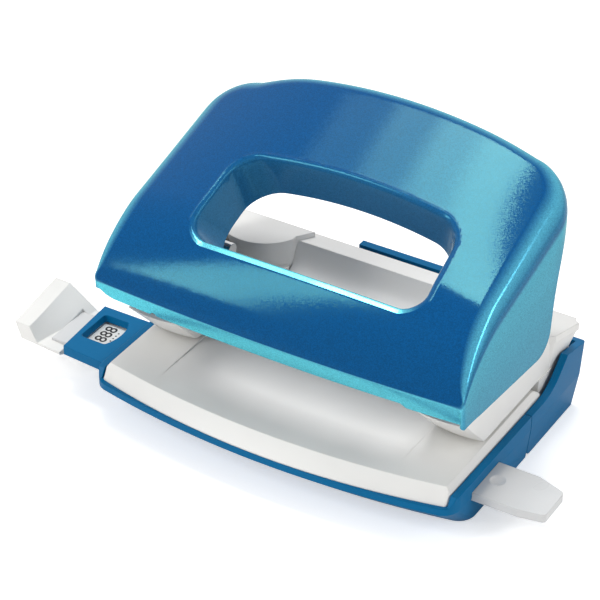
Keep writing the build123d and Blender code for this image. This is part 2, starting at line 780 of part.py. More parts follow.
# Axle on the right, headed at its inner end
with BuildPart() as right_axle:
    with Locations((frame_inner, pivot_y, pivot_z)):
        Cylinder(axle_diameter / 2, arm_outer + 1.2 - frame_inner, rotation=(0, 90, 0),
                 align=(Align.CENTER, Align.CENTER, Align.MIN))
        Cylinder(axle_diameter / 2 + 1, 0.8, rotation=(0, -90, 0),
                 align=(Align.CENTER, Align.CENTER, Align.MIN))
    with Locations((arm_outer + arm_gap, pivot_y, pivot_z)):
        Cylinder(axle_diameter, clip_thickness, rotation=(0, 90, 0),
                 align=(Align.CENTER, Align.CENTER, Align.MIN), mode=Mode.SUBTRACT)
        Cylinder(axle_diameter / 2 - groove_depth, clip_thickness, rotation=(0, 90, 0),
                 align=(Align.CENTER, Align.CENTER, Align.MIN))
left_axle = across(right_axle)

# Clips that hold the lever's arms on the axles
with BuildPart() as axle_clips:
    with BuildSketch(Plane.YZ.offset(arm_outer + arm_gap)):
        with Locations((pivot_y, pivot_z)):
            Circle(axle_diameter / 2 + 1.2)
            Circle(axle_diameter / 2 - groove_depth, mode=Mode.SUBTRACT)
        with Locations((pivot_y, pivot_z - axle_diameter)):
            Rectangle(axle_diameter - 1.8, 2 * axle_diameter, mode=Mode.SUBTRACT)
    extrude(amount=clip_thickness)
    mirror(about=Plane.YZ)


def lever_side(x, inset):
    """Side view of the lever's block at one station across, moved inward by the inset."""
    share = 1 - (x / lever_half_width) ** 2
    crease = (crease_y - crease_bow * share + 1.08 * inset, crease_z)
    bend = (bend_y - bend_bow * share + 0.68 * inset, bend_z + bend_crown * share - 0.73 * inset)
    brow = (brow_y - brow_bow * share + 0.31 * inset, brow_z + brow_crown * share - 0.95 * inset)
    back = (back_y + 0.28 * inset, back_z + back_crown * share - 0.96 * inset)
    foot = (crease[0] + lip_tuck * (crease_z - lever_base), lever_base)
    with BuildSketch(Plane.YZ.offset(x)) as view:
        with BuildLine():
            Line(foot, crease)
            front = ThreePointArc(crease, bend, brow)
            TangentArc(brow, back, tangent=front % 1)
            Polyline(back, (back[0], lever_base), foot)
        make_face()
    return view.sketch


def lever_block(inset, fold, reach=0.0):
    """Domed block of the lever's outside, or of its inside with an inset."""
    with BuildPart() as block:
        loft([lever_side(x, inset) for x in (-lever_half_width - 1, 0, lever_half_width + 1)])
        half = lever_half_width + (crease_z - lever_base) * lever_slope - inset
        rear = lever_rear + (back_z - lever_base) * lever_slope - inset + reach
        with BuildSketch(Plane.XY.offset(lever_base)):
            with BuildLine():
                sides = Polyline((-half, rear), (-half, 2 * crease_y), (half, 2 * crease_y), (half, rear))
                ThreePointArc(sides @ 1, (0, rear + lever_rear_bow), sides @ 0)
            make_face()
            fillet(vertices().group_by(Axis.Y)[-1], lever_corner - inset)
        extrude(amount=back_z, taper=flank_lean, mode=Mode.INTERSECT)
        if fold > 0:
            rim = edges().filter_by(lambda e: e.bounding_box().min.Z > (crease_z + lever_base) / 2)
            rim = rim.filter_by(lambda e: abs(e.center().X) > punch_x / 2 or e.center().Y > lever_rear / 2)
            fillet(rim, fold)
    return block


# Lever pressed from one sheet, with its hand opening
lever_solid = lever_block(0, lever_fold)
lever_inside = lever_block(sheet, lever_fold - sheet)
with BuildPart() as lever_edge:
    with BuildSketch(Plane.YZ.offset(-2 * punch_x)):
        with BuildLine():
            low = Polyline((2 * crease_y, edge_front_z), (edge_step_y, edge_front_z), (edge_rear_y, edge_rear_z))
            heel = ThreePointArc(low @ 1, (heel_bend_y, heel_bend_z), (heel_y, heel_z))
            rise = ThreePointArc(heel @ 1, (notch_bend_y, notch_bend_z), (notch_y, notch_z))
            Polyline(rise @ 1, (notch_rear_y, notch_rear_z), (2 * lever_rear, notch_end_z), (2 * lever_rear, 0),
                     (2 * crease_y, 0), low @ 0)
        make_face()
    extrude(amount=4 * punch_x)
with BuildPart() as rear_opening:
    slab(-rear_lip_half, rear_lip_half, lever_rear - lever_corner, 2 * lever_rear, 0, 2 * back_z)
    add(lever_block(rear_lip, 0, rear_lip + sheet).part, mode=Mode.INTERSECT)
grip_plane = Plane(origin=(grip_x, grip_y, grip_z), x_dir=(1, 0, 0),
                   z_dir=(0, -sin(radians(grip_slope)), cos(radians(grip_slope))))


def grip_outline():
    """Outline of the hand opening."""
    with BuildLine() as line:
        front = Line((-grip_half_width, -grip_height / 2), (grip_half_width, -grip_height / 2))
        right = Line(front @ 1, (grip_rear_half_width, grip_height / 2))
        rear = ThreePointArc(right @ 1, (0, grip_height / 2 + grip_rear_bow),
                             (-grip_rear_half_width, grip_height / 2))
        Line(rear @ 1, front @ 0)
    make_face(line.edges())
    fillet(vertices(), grip_corner)


with BuildPart() as collar:
    with BuildSketch(grip_plane) as collar_plan:
        grip_outline()
        offset(amount=sheet)
    extrude(amount=-grip_depth, taper=grip_draft)
    extrude(collar_plan.sketch, amount=2 * grip_depth)
    add(lever_solid.part, mode=Mode.INTERSECT)
with BuildPart() as lever:
    add(lever_solid.part)
    add(lever_inside.part, mode=Mode.SUBTRACT)
    add(collar.part)
    add(rear_opening.part, mode=Mode.SUBTRACT)
    with BuildSketch(grip_plane) as grip_plan:
        grip_outline()
    extrude(amount=-grip_depth - sheet, taper=grip_draft, mode=Mode.SUBTRACT)
    extrude(grip_plan.sketch, amount=2 * grip_depth, mode=Mode.SUBTRACT)
    add(lever_edge.part, mode=Mode.SUBTRACT)

# Lever arm on the right, with a tab spot-welded below the lever's top
with BuildPart() as arm_tab:
    slab(arm_outer - arm_flange, arm_outer, arm_front, arm_rear, arm_neck_z, arm_top)
    add(lever_block(2 * sheet, 0).part, mode=Mode.SUBTRACT)
with BuildPart() as right_lever_arm:
    with BuildSketch(Plane.YZ.offset(arm_inner)):
        with BuildLine():
            boss = ThreePointArc((pivot_y, pivot_z + arm_boss), (pivot_y + arm_boss, pivot_z),
                                 (pivot_y, pivot_z - arm_boss))
            Polyline(boss @ 1, (arm_heel_y, arm_heel_z), (arm_belly_y, arm_belly_z), (arm_chin_y, arm_chin_z),
                     (arm_toe_y, arm_toe_z), (arm_front, arm_neck_z), (arm_front, arm_top), (arm_rear, arm_top),
                     (arm_rear + arm_back_step, arm_neck_z), (arm_back_y, arm_back_z),
                     (arm_waist_y, arm_waist_z), boss @ 0)
        make_face()
    extrude(amount=sheet)
    add(arm_tab.part)
    add(lever_inside.part, mode=Mode.INTERSECT)
    with BuildSketch(Plane.YZ.offset(arm_inner)):
        with Locations((pivot_y, pivot_z)):
            Circle(axle_diameter / 2 + running_fit)
        with Locations((stud_y, stud_z)):
            Circle(stud_diameter / 2)
    extrude(amount=sheet, mode=Mode.SUBTRACT)
left_lever_arm = across(right_lever_arm)

# Press stud on the right, riveted into the arm
with BuildPart() as right_press_stud:
    with Locations((stud_end, stud_y, stud_z)):
        Cylinder(stud_diameter / 2, arm_outer - stud_end, rotation=(0, 90, 0),
                 align=(Align.CENTER, Align.CENTER, Align.MIN))
    with Locations((arm_outer, stud_y, stud_z)):
        Cylinder(rivet_head / 2, rivet_height, rotation=(0, 90, 0),
                 align=(Align.CENTER, Align.CENTER, Align.MIN))
    chamfer(edges().filter_by(GeomType.CIRCLE).sort_by(Axis.X)[-1], 0.3)
left_press_stud = across(right_press_stud)

# Sliding bar of the edge guide, with the pull tab at its right end
with BuildPart() as guide_bar:
    with BuildSketch(Plane.XY.offset(bar_z)):
        half = bar_width / 2
        Polygon((bar_left, bar_y - half), (bar_right - tab_front_cut, bar_y - half),
                (bar_right, bar_y - half + tab_front_step), (bar_right, bar_y + half - tab_rear_step),
                (bar_right - tab_rear_cut, bar_y + half), (bar_left, bar_y + half), align=None)
        fillet(vertices().group_by(Axis.X)[-1], tab_round)
    extrude(amount=bar_thickness)
    bar_top = bar_z + bar_thickness
    with BuildSketch(Plane.XZ.offset(-bar_y - bar_width)):
        Polygon((slope_start, bar_top), (slope_end, bar_top - slope_drop), (lip_start, bar_top), align=None)
    extrude(amount=-2 * bar_width, mode=Mode.SUBTRACT)
    with Locations((dimple_x, dimple_y, bar_top + dimple_rise)):
        Sphere(dimple_radius, mode=Mode.SUBTRACT)

# Paper-size strip on the bar
with BuildPart() as index_strip:
    slab(label_left, label_right, bar_y - label_width / 2, bar_y + label_width / 2, bar_top,
         bar_top + label_thickness)

# Stop at the bar's left end
with BuildPart() as guide_stop:
    floor_top = bar_top - stop_floor
    with BuildSketch(Plane.XZ.offset(-stop_rear)):
        Polygon((-stop_left, stop_top), (-stop_left + stop_ridge, stop_top), (-stop_slope, floor_top + 0.6),
                (-stop_right, floor_top), (-stop_right, stop_foot), (-stop_left + stop_heel, stop_foot),
                align=None)
    with BuildSketch(Plane.XZ.offset(-stop_front - stop_nose)) as nose:
        Polygon((-stop_left_front - 0.2, stop_top_front + 0.2), (-nose_ridge, stop_top_front + 0.2),
                (-nose_slope, floor_top + 0.5), (-stop_right, floor_top), (-stop_right, stop_foot),
                (-stop_left_front + nose_heel, stop_foot), align=None)
    loft(ruled=True)
    with BuildSketch(Plane.XZ.offset(-stop_front)) as tip:
        Polygon((-stop_left_front, stop_top_front), (-tip_ridge, stop_top_front), (-tip_slope, floor_top + 0.5),
                (-stop_right, floor_top), (-stop_right, floor_top - tip_depth), (-tip_toe, floor_top + 0.2),
                align=None)
    loft([nose.sketch, tip.sketch], ruled=True)
    slab(bar_left, -stop_right + 1, bar_y - bar_width / 2, bar_y + bar_width / 2, bar_z, bar_top + 5,
         Mode.SUBTRACT)

save(base_tray, "base_tray")
save(hinge_pins, "hinge_pins")
save(chip_tray, "chip_tray")
save(paper_table, "paper_table")
save(rear_housing, "rear_housing")
save(left_tower_cover, "left_tower_cover")
save(right_tower_cover, "right_tower_cover")
save(left_frame, "left_frame")
save(right_frame, "right_frame")
save(frame_screws, "frame_screws")
save(left_die, "left_die")
save(right_die, "right_die")
save(left_sleeve, "left_sleeve")
save(right_sleeve, "right_sleeve")
save(left_punch_pin, "left_punch_pin")
save(right_punch_pin, "right_punch_pin")
save(left_spring_washer, "left_spring_washer")
save(right_spring_washer, "right_spring_washer")
save(left_pin_clip, "left_pin_clip")
save(right_pin_clip, "right_pin_clip")
save(left_spring, "left_spring")
save(right_spring, "right_spring")
save(left_axle, "left_axle")
save(right_axle, "right_axle")
save(axle_clips, "axle_clips")
save(lever, "lever")
save(left_lever_arm, "left_lever_arm")
save(right_lever_arm, "right_lever_arm")
save(left_press_stud, "left_press_stud")
save(right_press_stud, "right_press_stud")
save(guide_bar, "guide_bar")
save(index_strip, "index_strip")
save(guide_stop, "guide_stop")
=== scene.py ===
import json
from math import cos, pi, radians, sin, sqrt, tan

import bpy
import numpy as np
from bpy.props import FloatProperty, FloatVectorProperty, IntProperty, PointerProperty
from mathutils import Matrix, Vector


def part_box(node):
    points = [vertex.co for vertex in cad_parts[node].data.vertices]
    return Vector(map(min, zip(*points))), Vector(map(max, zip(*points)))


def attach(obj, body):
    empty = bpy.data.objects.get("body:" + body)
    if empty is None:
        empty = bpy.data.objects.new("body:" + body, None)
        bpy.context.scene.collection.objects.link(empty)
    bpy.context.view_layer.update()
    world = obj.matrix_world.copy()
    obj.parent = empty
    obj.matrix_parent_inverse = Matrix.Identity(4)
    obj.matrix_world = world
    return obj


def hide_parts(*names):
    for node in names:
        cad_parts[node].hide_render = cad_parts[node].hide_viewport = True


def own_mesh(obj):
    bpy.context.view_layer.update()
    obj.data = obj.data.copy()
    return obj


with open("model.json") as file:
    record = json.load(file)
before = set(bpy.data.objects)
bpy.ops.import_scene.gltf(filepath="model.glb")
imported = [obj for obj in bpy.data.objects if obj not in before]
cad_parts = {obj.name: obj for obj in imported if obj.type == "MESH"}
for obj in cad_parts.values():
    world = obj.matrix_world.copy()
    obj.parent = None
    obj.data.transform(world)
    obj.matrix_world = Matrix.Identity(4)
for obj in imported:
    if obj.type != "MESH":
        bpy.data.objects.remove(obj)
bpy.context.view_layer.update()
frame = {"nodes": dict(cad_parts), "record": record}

bl_info = {
    "name": "Hole punch",
    "version": (1, 0, 0),
    "blender": (4, 5, 0),
    "location": "View3D > Sidebar > Hole punch",
    "description": "Dresses the solids of a small hole punch and sets up its stage",
    "category": "Object",
}

MM = 0.001
# Point attribute of the lever that holds a painted sheen: where it is high, the paint's colour is
# lightened towards a painted highlight colour and made metallic. This paints reflections and
# highlights on the flanges, the rim strip and the fold.
OPEN_FLAKES = "open_flakes"


# Sizes and colours that a user would change


def length(name, description, default):
    """A size property in metres."""
    return FloatProperty(
        name=name, description=description, default=default, unit="LENGTH", precision=5)


def colour(name, description, default):
    """A colour property in linear light."""
    return FloatVectorProperty(
        name=name, description=description, default=default, subtype="COLOR", size=3, min=0, max=1)


class PunchLeverSizes(bpy.types.PropertyGroup):
    half_width: length("Half width", "From the middle to the flank at the front crease", 0.0537)
    sheet: length("Sheet", "Thickness of the pressed sheet", 0.0012)
    front_fold: length("Front fold", "Radius between top and flank at the front", 0.0010)
    side_fold: length("Side fold", "Radius between top and flank at the rear of the side", 0.0088)
    rear_fold: length("Rear fold", "Radius along the rear edge", 0.0038)
    crease_fold: length("Crease", "Radius of the front crease", 0.0008)
    corner: length("Rear corner", "Radius of the rear corners in plan", 0.0138)
    rim: length("Rim", "Radius of the hand opening's rim", 0.0013)
    eased_edge: length("Eased edge", "Width of the eased edges of the sheet", 0.0002)
    collar_depth: length("Collar", "Depth of the hand opening's collar", 0.0130)
    flank_lean: FloatProperty(
        name="Flank lean", description="Outward lean of the flanks", default=radians(1.4),
        subtype="ANGLE", unit="ROTATION")


class PunchSpringSizes(bpy.types.PropertyGroup):
    stroke: length("Stroke", "How much a spring shortens as its punch goes down", 0.0057)


class PunchPrintSizes(bpy.types.PropertyGroup):
    digit_height: length("Digits", "Height of the digits on the strip", 0.0036)
    dot: length("Dot", "Diameter of a dot on the strip", 0.0005)
    dot_pitch: length("Dot pitch", "Distance between the dots", 0.0013)
    dot_count: IntProperty(name="Dots", description="Dots in the row", default=4, min=1, max=20)


class PunchColours(bpy.types.PropertyGroup):
    paint: colour("Paint", "Ground colour of the lever's paint", (0.0, 0.060, 0.215))
    flake: colour("Flakes", "Colour of the light on the paint's flakes", (0.26, 0.93, 0.78))
    # Painted highlight colour: the lever's paint is lightened towards it where a sheen is painted
    # on.
    lit: colour("Lit flakes", "Paint where its flakes lie open to the light", (0.20, 0.84, 1.0))
    tray: colour("Tray", "Blue plastic of the trays", (0.0, 0.128, 0.300))
    white: colour("White", "White plastic of table and towers", (0.80, 0.79, 0.765))
    pale: colour("Pale grey", "Pale plastic of the guide bar", (0.64, 0.64, 0.64))
    label: colour("Strip", "Ground of the printed strip", (0.72, 0.72, 0.70))
    ink: colour("Ink", "Print on the strip", (0.012, 0.012, 0.014))
    steel: colour("Steel", "Plated steel", (0.52, 0.53, 0.54))
    bright: colour("Ground steel", "Ground steel of pins and springs", (0.66, 0.67, 0.68))
    brass: colour("Brass", "Brass of the guide sleeves", (0.72, 0.52, 0.22))
    floor: colour("Floor", "Pale floor", (0.86, 0.86, 0.86))


# Shader building


def shader(tree, kind, values=None, **settings):
    """A node with its settings and unlinked input values."""
    node = tree.nodes.new(kind)
    for key, value in settings.items():
        setattr(node, key, value)
    for key, value in (values or {}).items():
        node.inputs[key].default_value = value
    return node


def noise_range(tree, low=0.0, high=1.0):
    """A node that spreads the middle range of a noise over low to high."""
    return shader(tree, "ShaderNodeMapRange",
                  {"From Min": 0.3, "From Max": 0.7, "To Min": low, "To Max": high})


def new_group(name, inputs, outputs):
    """An empty shader group with its sockets, and its two end nodes."""
    group = bpy.data.node_groups.new(name, "ShaderNodeTree")
    for label, default in inputs:
        socket = group.interface.new_socket(
            name=label, in_out="INPUT", socket_type="NodeSocketFloat")
        socket.default_value = default
    for label, kind in outputs:
        group.interface.new_socket(name=label, in_out="OUTPUT", socket_type=kind)
    return group, group.nodes.new("NodeGroupInput"), group.nodes.new("NodeGroupOutput")


def varied_gloss(group, start, noise):
    """Roughness that wanders by the group's spread to both sides."""
    gloss = noise_range(group)
    for operation, bound in (("SUBTRACT", "To Min"), ("ADD", "To Max")):
        limit = shader(group, "ShaderNodeMath", operation=operation)
        group.links.new(start.outputs["Roughness"], limit.inputs[0])
        group.links.new(start.outputs["Spread"], limit.inputs[1])
        group.links.new(limit.outputs[0], gloss.inputs[bound])
    group.links.new(noise, gloss.inputs["Value"])
    return gloss.outputs["Result"]


def moulded_group():
    """Fine grain and slow change of gloss of a moulded plastic surface."""
    found = bpy.data.node_groups.get("moulded_surface")
    if found:
        return found
    group, start, end = new_group(
        "moulded_surface",
        [("Grain", 1600.0), ("Roughness", 0.35), ("Spread", 0.06), ("Edge", 0.0003)],
        [("Roughness", "NodeSocketFloat"), ("Height", "NodeSocketFloat"),
         ("Shade", "NodeSocketFloat"), ("Normal", "NodeSocketVector")],
    )
    place = shader(group, "ShaderNodeTexCoord")
    grain = shader(group, "ShaderNodeTexNoise", {"Detail": 3.0, "Roughness": 0.6})
    flow = shader(group, "ShaderNodeTexNoise", {"Scale": 55.0, "Detail": 2.0})
    shade = noise_range(group, 0.97, 1.03)
    edge = shader(group, "ShaderNodeBevel", samples=6)
    link = group.links.new
    link(place.outputs["Object"], grain.inputs["Vector"])
    link(place.outputs["Object"], flow.inputs["Vector"])
    link(start.outputs["Grain"], grain.inputs["Scale"])
    link(flow.outputs["Fac"], shade.inputs["Value"])
    link(start.outputs["Edge"], edge.inputs["Radius"])
    link(varied_gloss(group, start, flow.outputs["Fac"]), end.inputs["Roughness"])
    link(grain.outputs["Fac"], end.inputs["Height"])
    link(shade.outputs["Result"], end.inputs["Shade"])
    link(edge.outputs["Normal"], end.inputs["Normal"])
    return group


def worked_group():
    """Streaks that grinding or rolling leaves on metal."""
    found = bpy.data.node_groups.get("worked_metal")
    if found:
        return found
    group, start, end = new_group(
        "worked_metal",
        [("Along", 120.0), ("Across", 5200.0), ("Roughness", 0.3), ("Spread", 0.1)],
        [("Roughness", "NodeSocketFloat"), ("Height", "NodeSocketFloat"),
         ("Shade", "NodeSocketFloat")],
    )
    place = shader(group, "ShaderNodeTexCoord")
    stretch = shader(group, "ShaderNodeCombineXYZ")
    scaled = shader(group, "ShaderNodeVectorMath", operation="MULTIPLY")
    streaks = shader(group, "ShaderNodeTexNoise", {"Scale": 1.0, "Detail": 2.0})
    shade = noise_range(group, 0.9, 1.06)
    link = group.links.new
    link(start.outputs["Along"], stretch.inputs["X"])
    link(start.outputs["Across"], stretch.inputs["Y"])
    link(start.outputs["Across"], stretch.inputs["Z"])
    link(place.outputs["Object"], scaled.inputs[0])
    link(stretch.outputs[0], scaled.inputs[1])
    link(scaled.outputs[0], streaks.inputs["Vector"])
    link(streaks.outputs["Fac"], shade.inputs["Value"])
    link(varied_gloss(group, start, streaks.outputs["Fac"]), end.inputs["Roughness"])
    link(streaks.outputs["Fac"], end.inputs["Height"])
    link(shade.outputs["Result"], end.inputs["Shade"])
    return group


def new_material(name):
    """A material with an empty tree but for its Principled shader and its output."""
    material = bpy.data.materials.new(name)
    material.use_nodes = True
    tree = material.node_tree
    tree.nodes.clear()
    body = tree.nodes.new("ShaderNodeBsdfPrincipled")
    end = tree.nodes.new("ShaderNodeOutputMaterial")
    tree.links.new(body.outputs[0], end.inputs["Surface"])
    return material, tree, body


def shaded(tree, colour_value, factor):
    """The colour times a factor that changes over the surface."""
    tint = shader(tree, "ShaderNodeVectorMath", operation="SCALE")
    tint.inputs[0].default_value = tuple(colour_value)
    tree.links.new(factor, tint.inputs["Scale"])
    return tint.outputs[0]


def surfaced(name, colour_value, group, values, strength, height):
    """A material whose grain, gloss and shade come from a shader group, and its two nodes."""
    material, tree, body = new_material(name)
    surface = shader(tree, "ShaderNodeGroup", values, node_tree=group)
    bump = shader(tree, "ShaderNodeBump", {"Strength": strength, "Distance": height})
    link = tree.links.new
    link(shaded(tree, colour_value, surface.outputs["Shade"]), body.inputs["Base Color"])
    link(surface.outputs["Roughness"], body.inputs["Roughness"])
    link(surface.outputs["Height"], bump.inputs["Height"])
    link(bump.outputs[0], body.inputs["Normal"])
    if "Normal" in surface.outputs:
        link(surface.outputs["Normal"], bump.inputs["Normal"])
    return material, body


def plastic(name, colour_value, roughness, grain, height, edge=0.0003, level=0.5):
    """Moulded plastic with eased edges."""
    found = bpy.data.materials.get(name)
    if found:
        return found
    values = {"Grain": grain, "Roughness": roughness, "Spread": 0.05, "Edge": edge}
    material, body = surfaced(name, colour_value, moulded_group(), values, 0.25, height)
    body.inputs["IOR"].default_value = 1.45
    body.inputs["Specular IOR Level"].default_value = level
    return material


def metal(name, colour_value, roughness, spread, along, across):
    """Worked metal."""
    found = bpy.data.materials.get(name)
    if found:
        return found
    values = {"Along": along, "Across": across, "Roughness": roughness, "Spread": spread}
    material, body = surfaced(name, colour_value, worked_group(), values, 0.2, 0.00002)
    body.inputs["Metallic"].default_value = 1.0
    return material


def flake_paint():
    """Gloss paint of the lever, with fine metal flakes below the surface."""
    found = bpy.data.materials.get("lever_paint")
    if found:
        return found
    colours = bpy.context.scene.punch_colours
    material, tree, body = new_material("lever_paint")
    place = shader(tree, "ShaderNodeTexCoord")
    cells = shader(tree, "ShaderNodeTexVoronoi", {"Scale": 4600.0})
    centred = shader(tree, "ShaderNodeVectorMath", operation="SUBTRACT")
    centred.inputs[1].default_value = (0.5, 0.5, 0.5)
    tilt = shader(tree, "ShaderNodeVectorMath", operation="SCALE")
    facing = shader(tree, "ShaderNodeNewGeometry")
    tilted = shader(tree, "ShaderNodeVectorMath", operation="ADD")
    unit = shader(tree, "ShaderNodeVectorMath", operation="NORMALIZE")
    split = shader(tree, "ShaderNodeSeparateColor")
    glint = shader(tree, "ShaderNodeMapRange", {"To Min": 0.82, "To Max": 1.22})
    flow = shader(tree, "ShaderNodeTexNoise", {"Scale": 38.0, "Detail": 2.0})
    rough = noise_range(tree, 0.09, 0.12)
    link = tree.links.new
    link(place.outputs["Object"], cells.inputs["Vector"])
    link(place.outputs["Object"], flow.inputs["Vector"])
    link(cells.outputs["Color"], centred.inputs[0])
    link(centred.outputs[0], tilt.inputs[0])
    link(facing.outputs["Normal"], tilted.inputs[0])
    link(tilt.outputs[0], tilted.inputs[1])
    link(tilted.outputs[0], unit.inputs[0])
    link(unit.outputs[0], body.inputs["Normal"])
    link(cells.outputs["Color"], split.inputs[0])
    link(split.outputs[0], glint.inputs["Value"])
    # Painted sheen: the mask lightens the base colour towards the painted highlight colour and
    # makes the paint metallic there; it also calms the flakes' tilt.
    flakes = shader(tree, "ShaderNodeAttribute", attribute_name=OPEN_FLAKES)
    calm = shader(tree, "ShaderNodeMapRange", {"From Max": 0.5, "To Min": 0.03, "To Max": 0.0})
    link(flakes.outputs["Fac"], calm.inputs["Value"])
    link(calm.outputs["Result"], tilt.inputs["Scale"])
    ground = shader(tree, "ShaderNodeVectorMath", operation="MULTIPLY_ADD")
    ground.inputs[1].default_value = tuple(f - p for f, p in zip(colours.lit, colours.paint))
    ground.inputs[2].default_value = tuple(colours.paint)
    sparkled = shader(tree, "ShaderNodeVectorMath", operation="SCALE")
    link(flakes.outputs["Fac"], ground.inputs[0])
    link(ground.outputs[0], sparkled.inputs[0])
    link(glint.outputs["Result"], sparkled.inputs["Scale"])
    link(sparkled.outputs[0], body.inputs["Base Color"])
    link(flakes.outputs["Fac"], body.inputs["Metallic"])
    link(flow.outputs["Fac"], rough.inputs["Value"])
    link(rough.outputs["Result"], body.inputs["Roughness"])
    body.inputs["IOR"].default_value = 1.38
    body.inputs["Specular Tint"].default_value = (*colours.flake, 1.0)
    return material


def finishes():
    """Every finish of the punch by the name of its material slot."""
    colours = bpy.context.scene.punch_colours
    return {
        "blue_paint": flake_paint(),
        "blue_shell": plastic("tray_plastic", colours.tray, 0.36, 1500.0, 0.00003, 0.0003, 0.12),
        "white_shell": plastic("white_plastic", colours.white, 0.42, 1300.0, 0.00003, 0.0004),
        "pale_plastic": plastic("bar_plastic", colours.pale, 0.3, 1500.0, 0.00002),
        "label": plastic("strip_sheet", colours.label, 0.55, 2600.0, 0.00001, 0.00005),
        "steel": metal("plated_steel", colours.steel, 0.32, 0.08, 150.0, 3800.0),
        "bright_steel": metal("ground_steel", colours.bright, 0.16, 0.06, 5200.0, 5200.0),
        "brass": metal("turned_brass", colours.brass, 0.26, 0.08, 5000.0, 5000.0),
    }


def dress(*names):
    """Gives CAD nodes the finish of their record's slot."""
    slots = {part["node"]: part["material_slot"] for part in frame["record"]["subparts"]}
    made = finishes()
    for name in names:
        node = frame["nodes"][name]
        material = made[slots[name]]
        if not node.material_slots:
            node.data.materials.append(material)
        for place in node.material_slots:
            place.material = material


# Meshes


def mesh_object(name, points, faces, material, smooth=True):
    """A mesh object from points in millimetres."""
    mesh = bpy.data.meshes.new(name)
    mesh.from_pydata([tuple(MM * c for c in p) for p in points], [], faces)
    mesh.materials.append(material)
    if smooth:
        mesh.polygons.foreach_set("use_smooth", [True] * len(mesh.polygons))
    mesh.update()
    made = bpy.data.objects.new(name, mesh)
    bpy.context.scene.collection.objects.link(made)
    return made


def finished(source, name):
    """A plain mesh of the evaluated object, which it takes the place of."""
    bpy.context.view_layer.update()
    graph = bpy.context.evaluated_depsgraph_get()
    mesh = bpy.data.meshes.new_from_object(source.evaluated_get(graph), depsgraph=graph)
    mesh.transform(source.matrix_world)
    materials = [m for m in source.data.materials if m]
    bpy.data.objects.remove(source)
    made = bpy.data.objects.new(name, mesh)
    if not mesh.materials:
        for material in materials:
            mesh.materials.append(material)
    bpy.context.scene.collection.objects.link(made)
    return made


# Lever


def held(value):
    """The value, held between 0 and 1."""
    return min(max(value, 0.0), 1.0)


def run_lengths(points):
    """Length of a line of points up to each point."""
    steps = np.linalg.norm(np.diff(points, axis=0), axis=1)
    return np.concatenate([[0], np.cumsum(steps)])


def circle_through(a, b, c):
    """Centre and radius of the circle through three points of a plane."""
    (ax, ay), (bx, by), (cx, cy) = a, b, c
    d = 2 * (ax * (by - cy) + bx * (cy - ay) + cx * (ay - by))
    aa, bb, cc = ax**2 + ay**2, bx**2 + by**2, cx**2 + cy**2
    x = (aa * (by - cy) + bb * (cy - ay) + cc * (ay - by)) / d
    y = (aa * (cx - bx) + bb * (ax - cx) + cc * (bx - ax)) / d
    return np.array([x, y]), sqrt((ax - x) ** 2 + (ay - y) ** 2)


def arc_points(a, b, c, count):
    """Points of the arc from a through b to c."""
    centre, radius = circle_through(a, b, c)
    turn = np.unwrap([np.arctan2(p[1] - centre[1], p[0] - centre[0]) for p in (a, b, c)])
    angles = np.linspace(turn[0], turn[2], count)
    return [(centre[0] + radius * cos(t), centre[1] + radius * sin(t)) for t in angles]


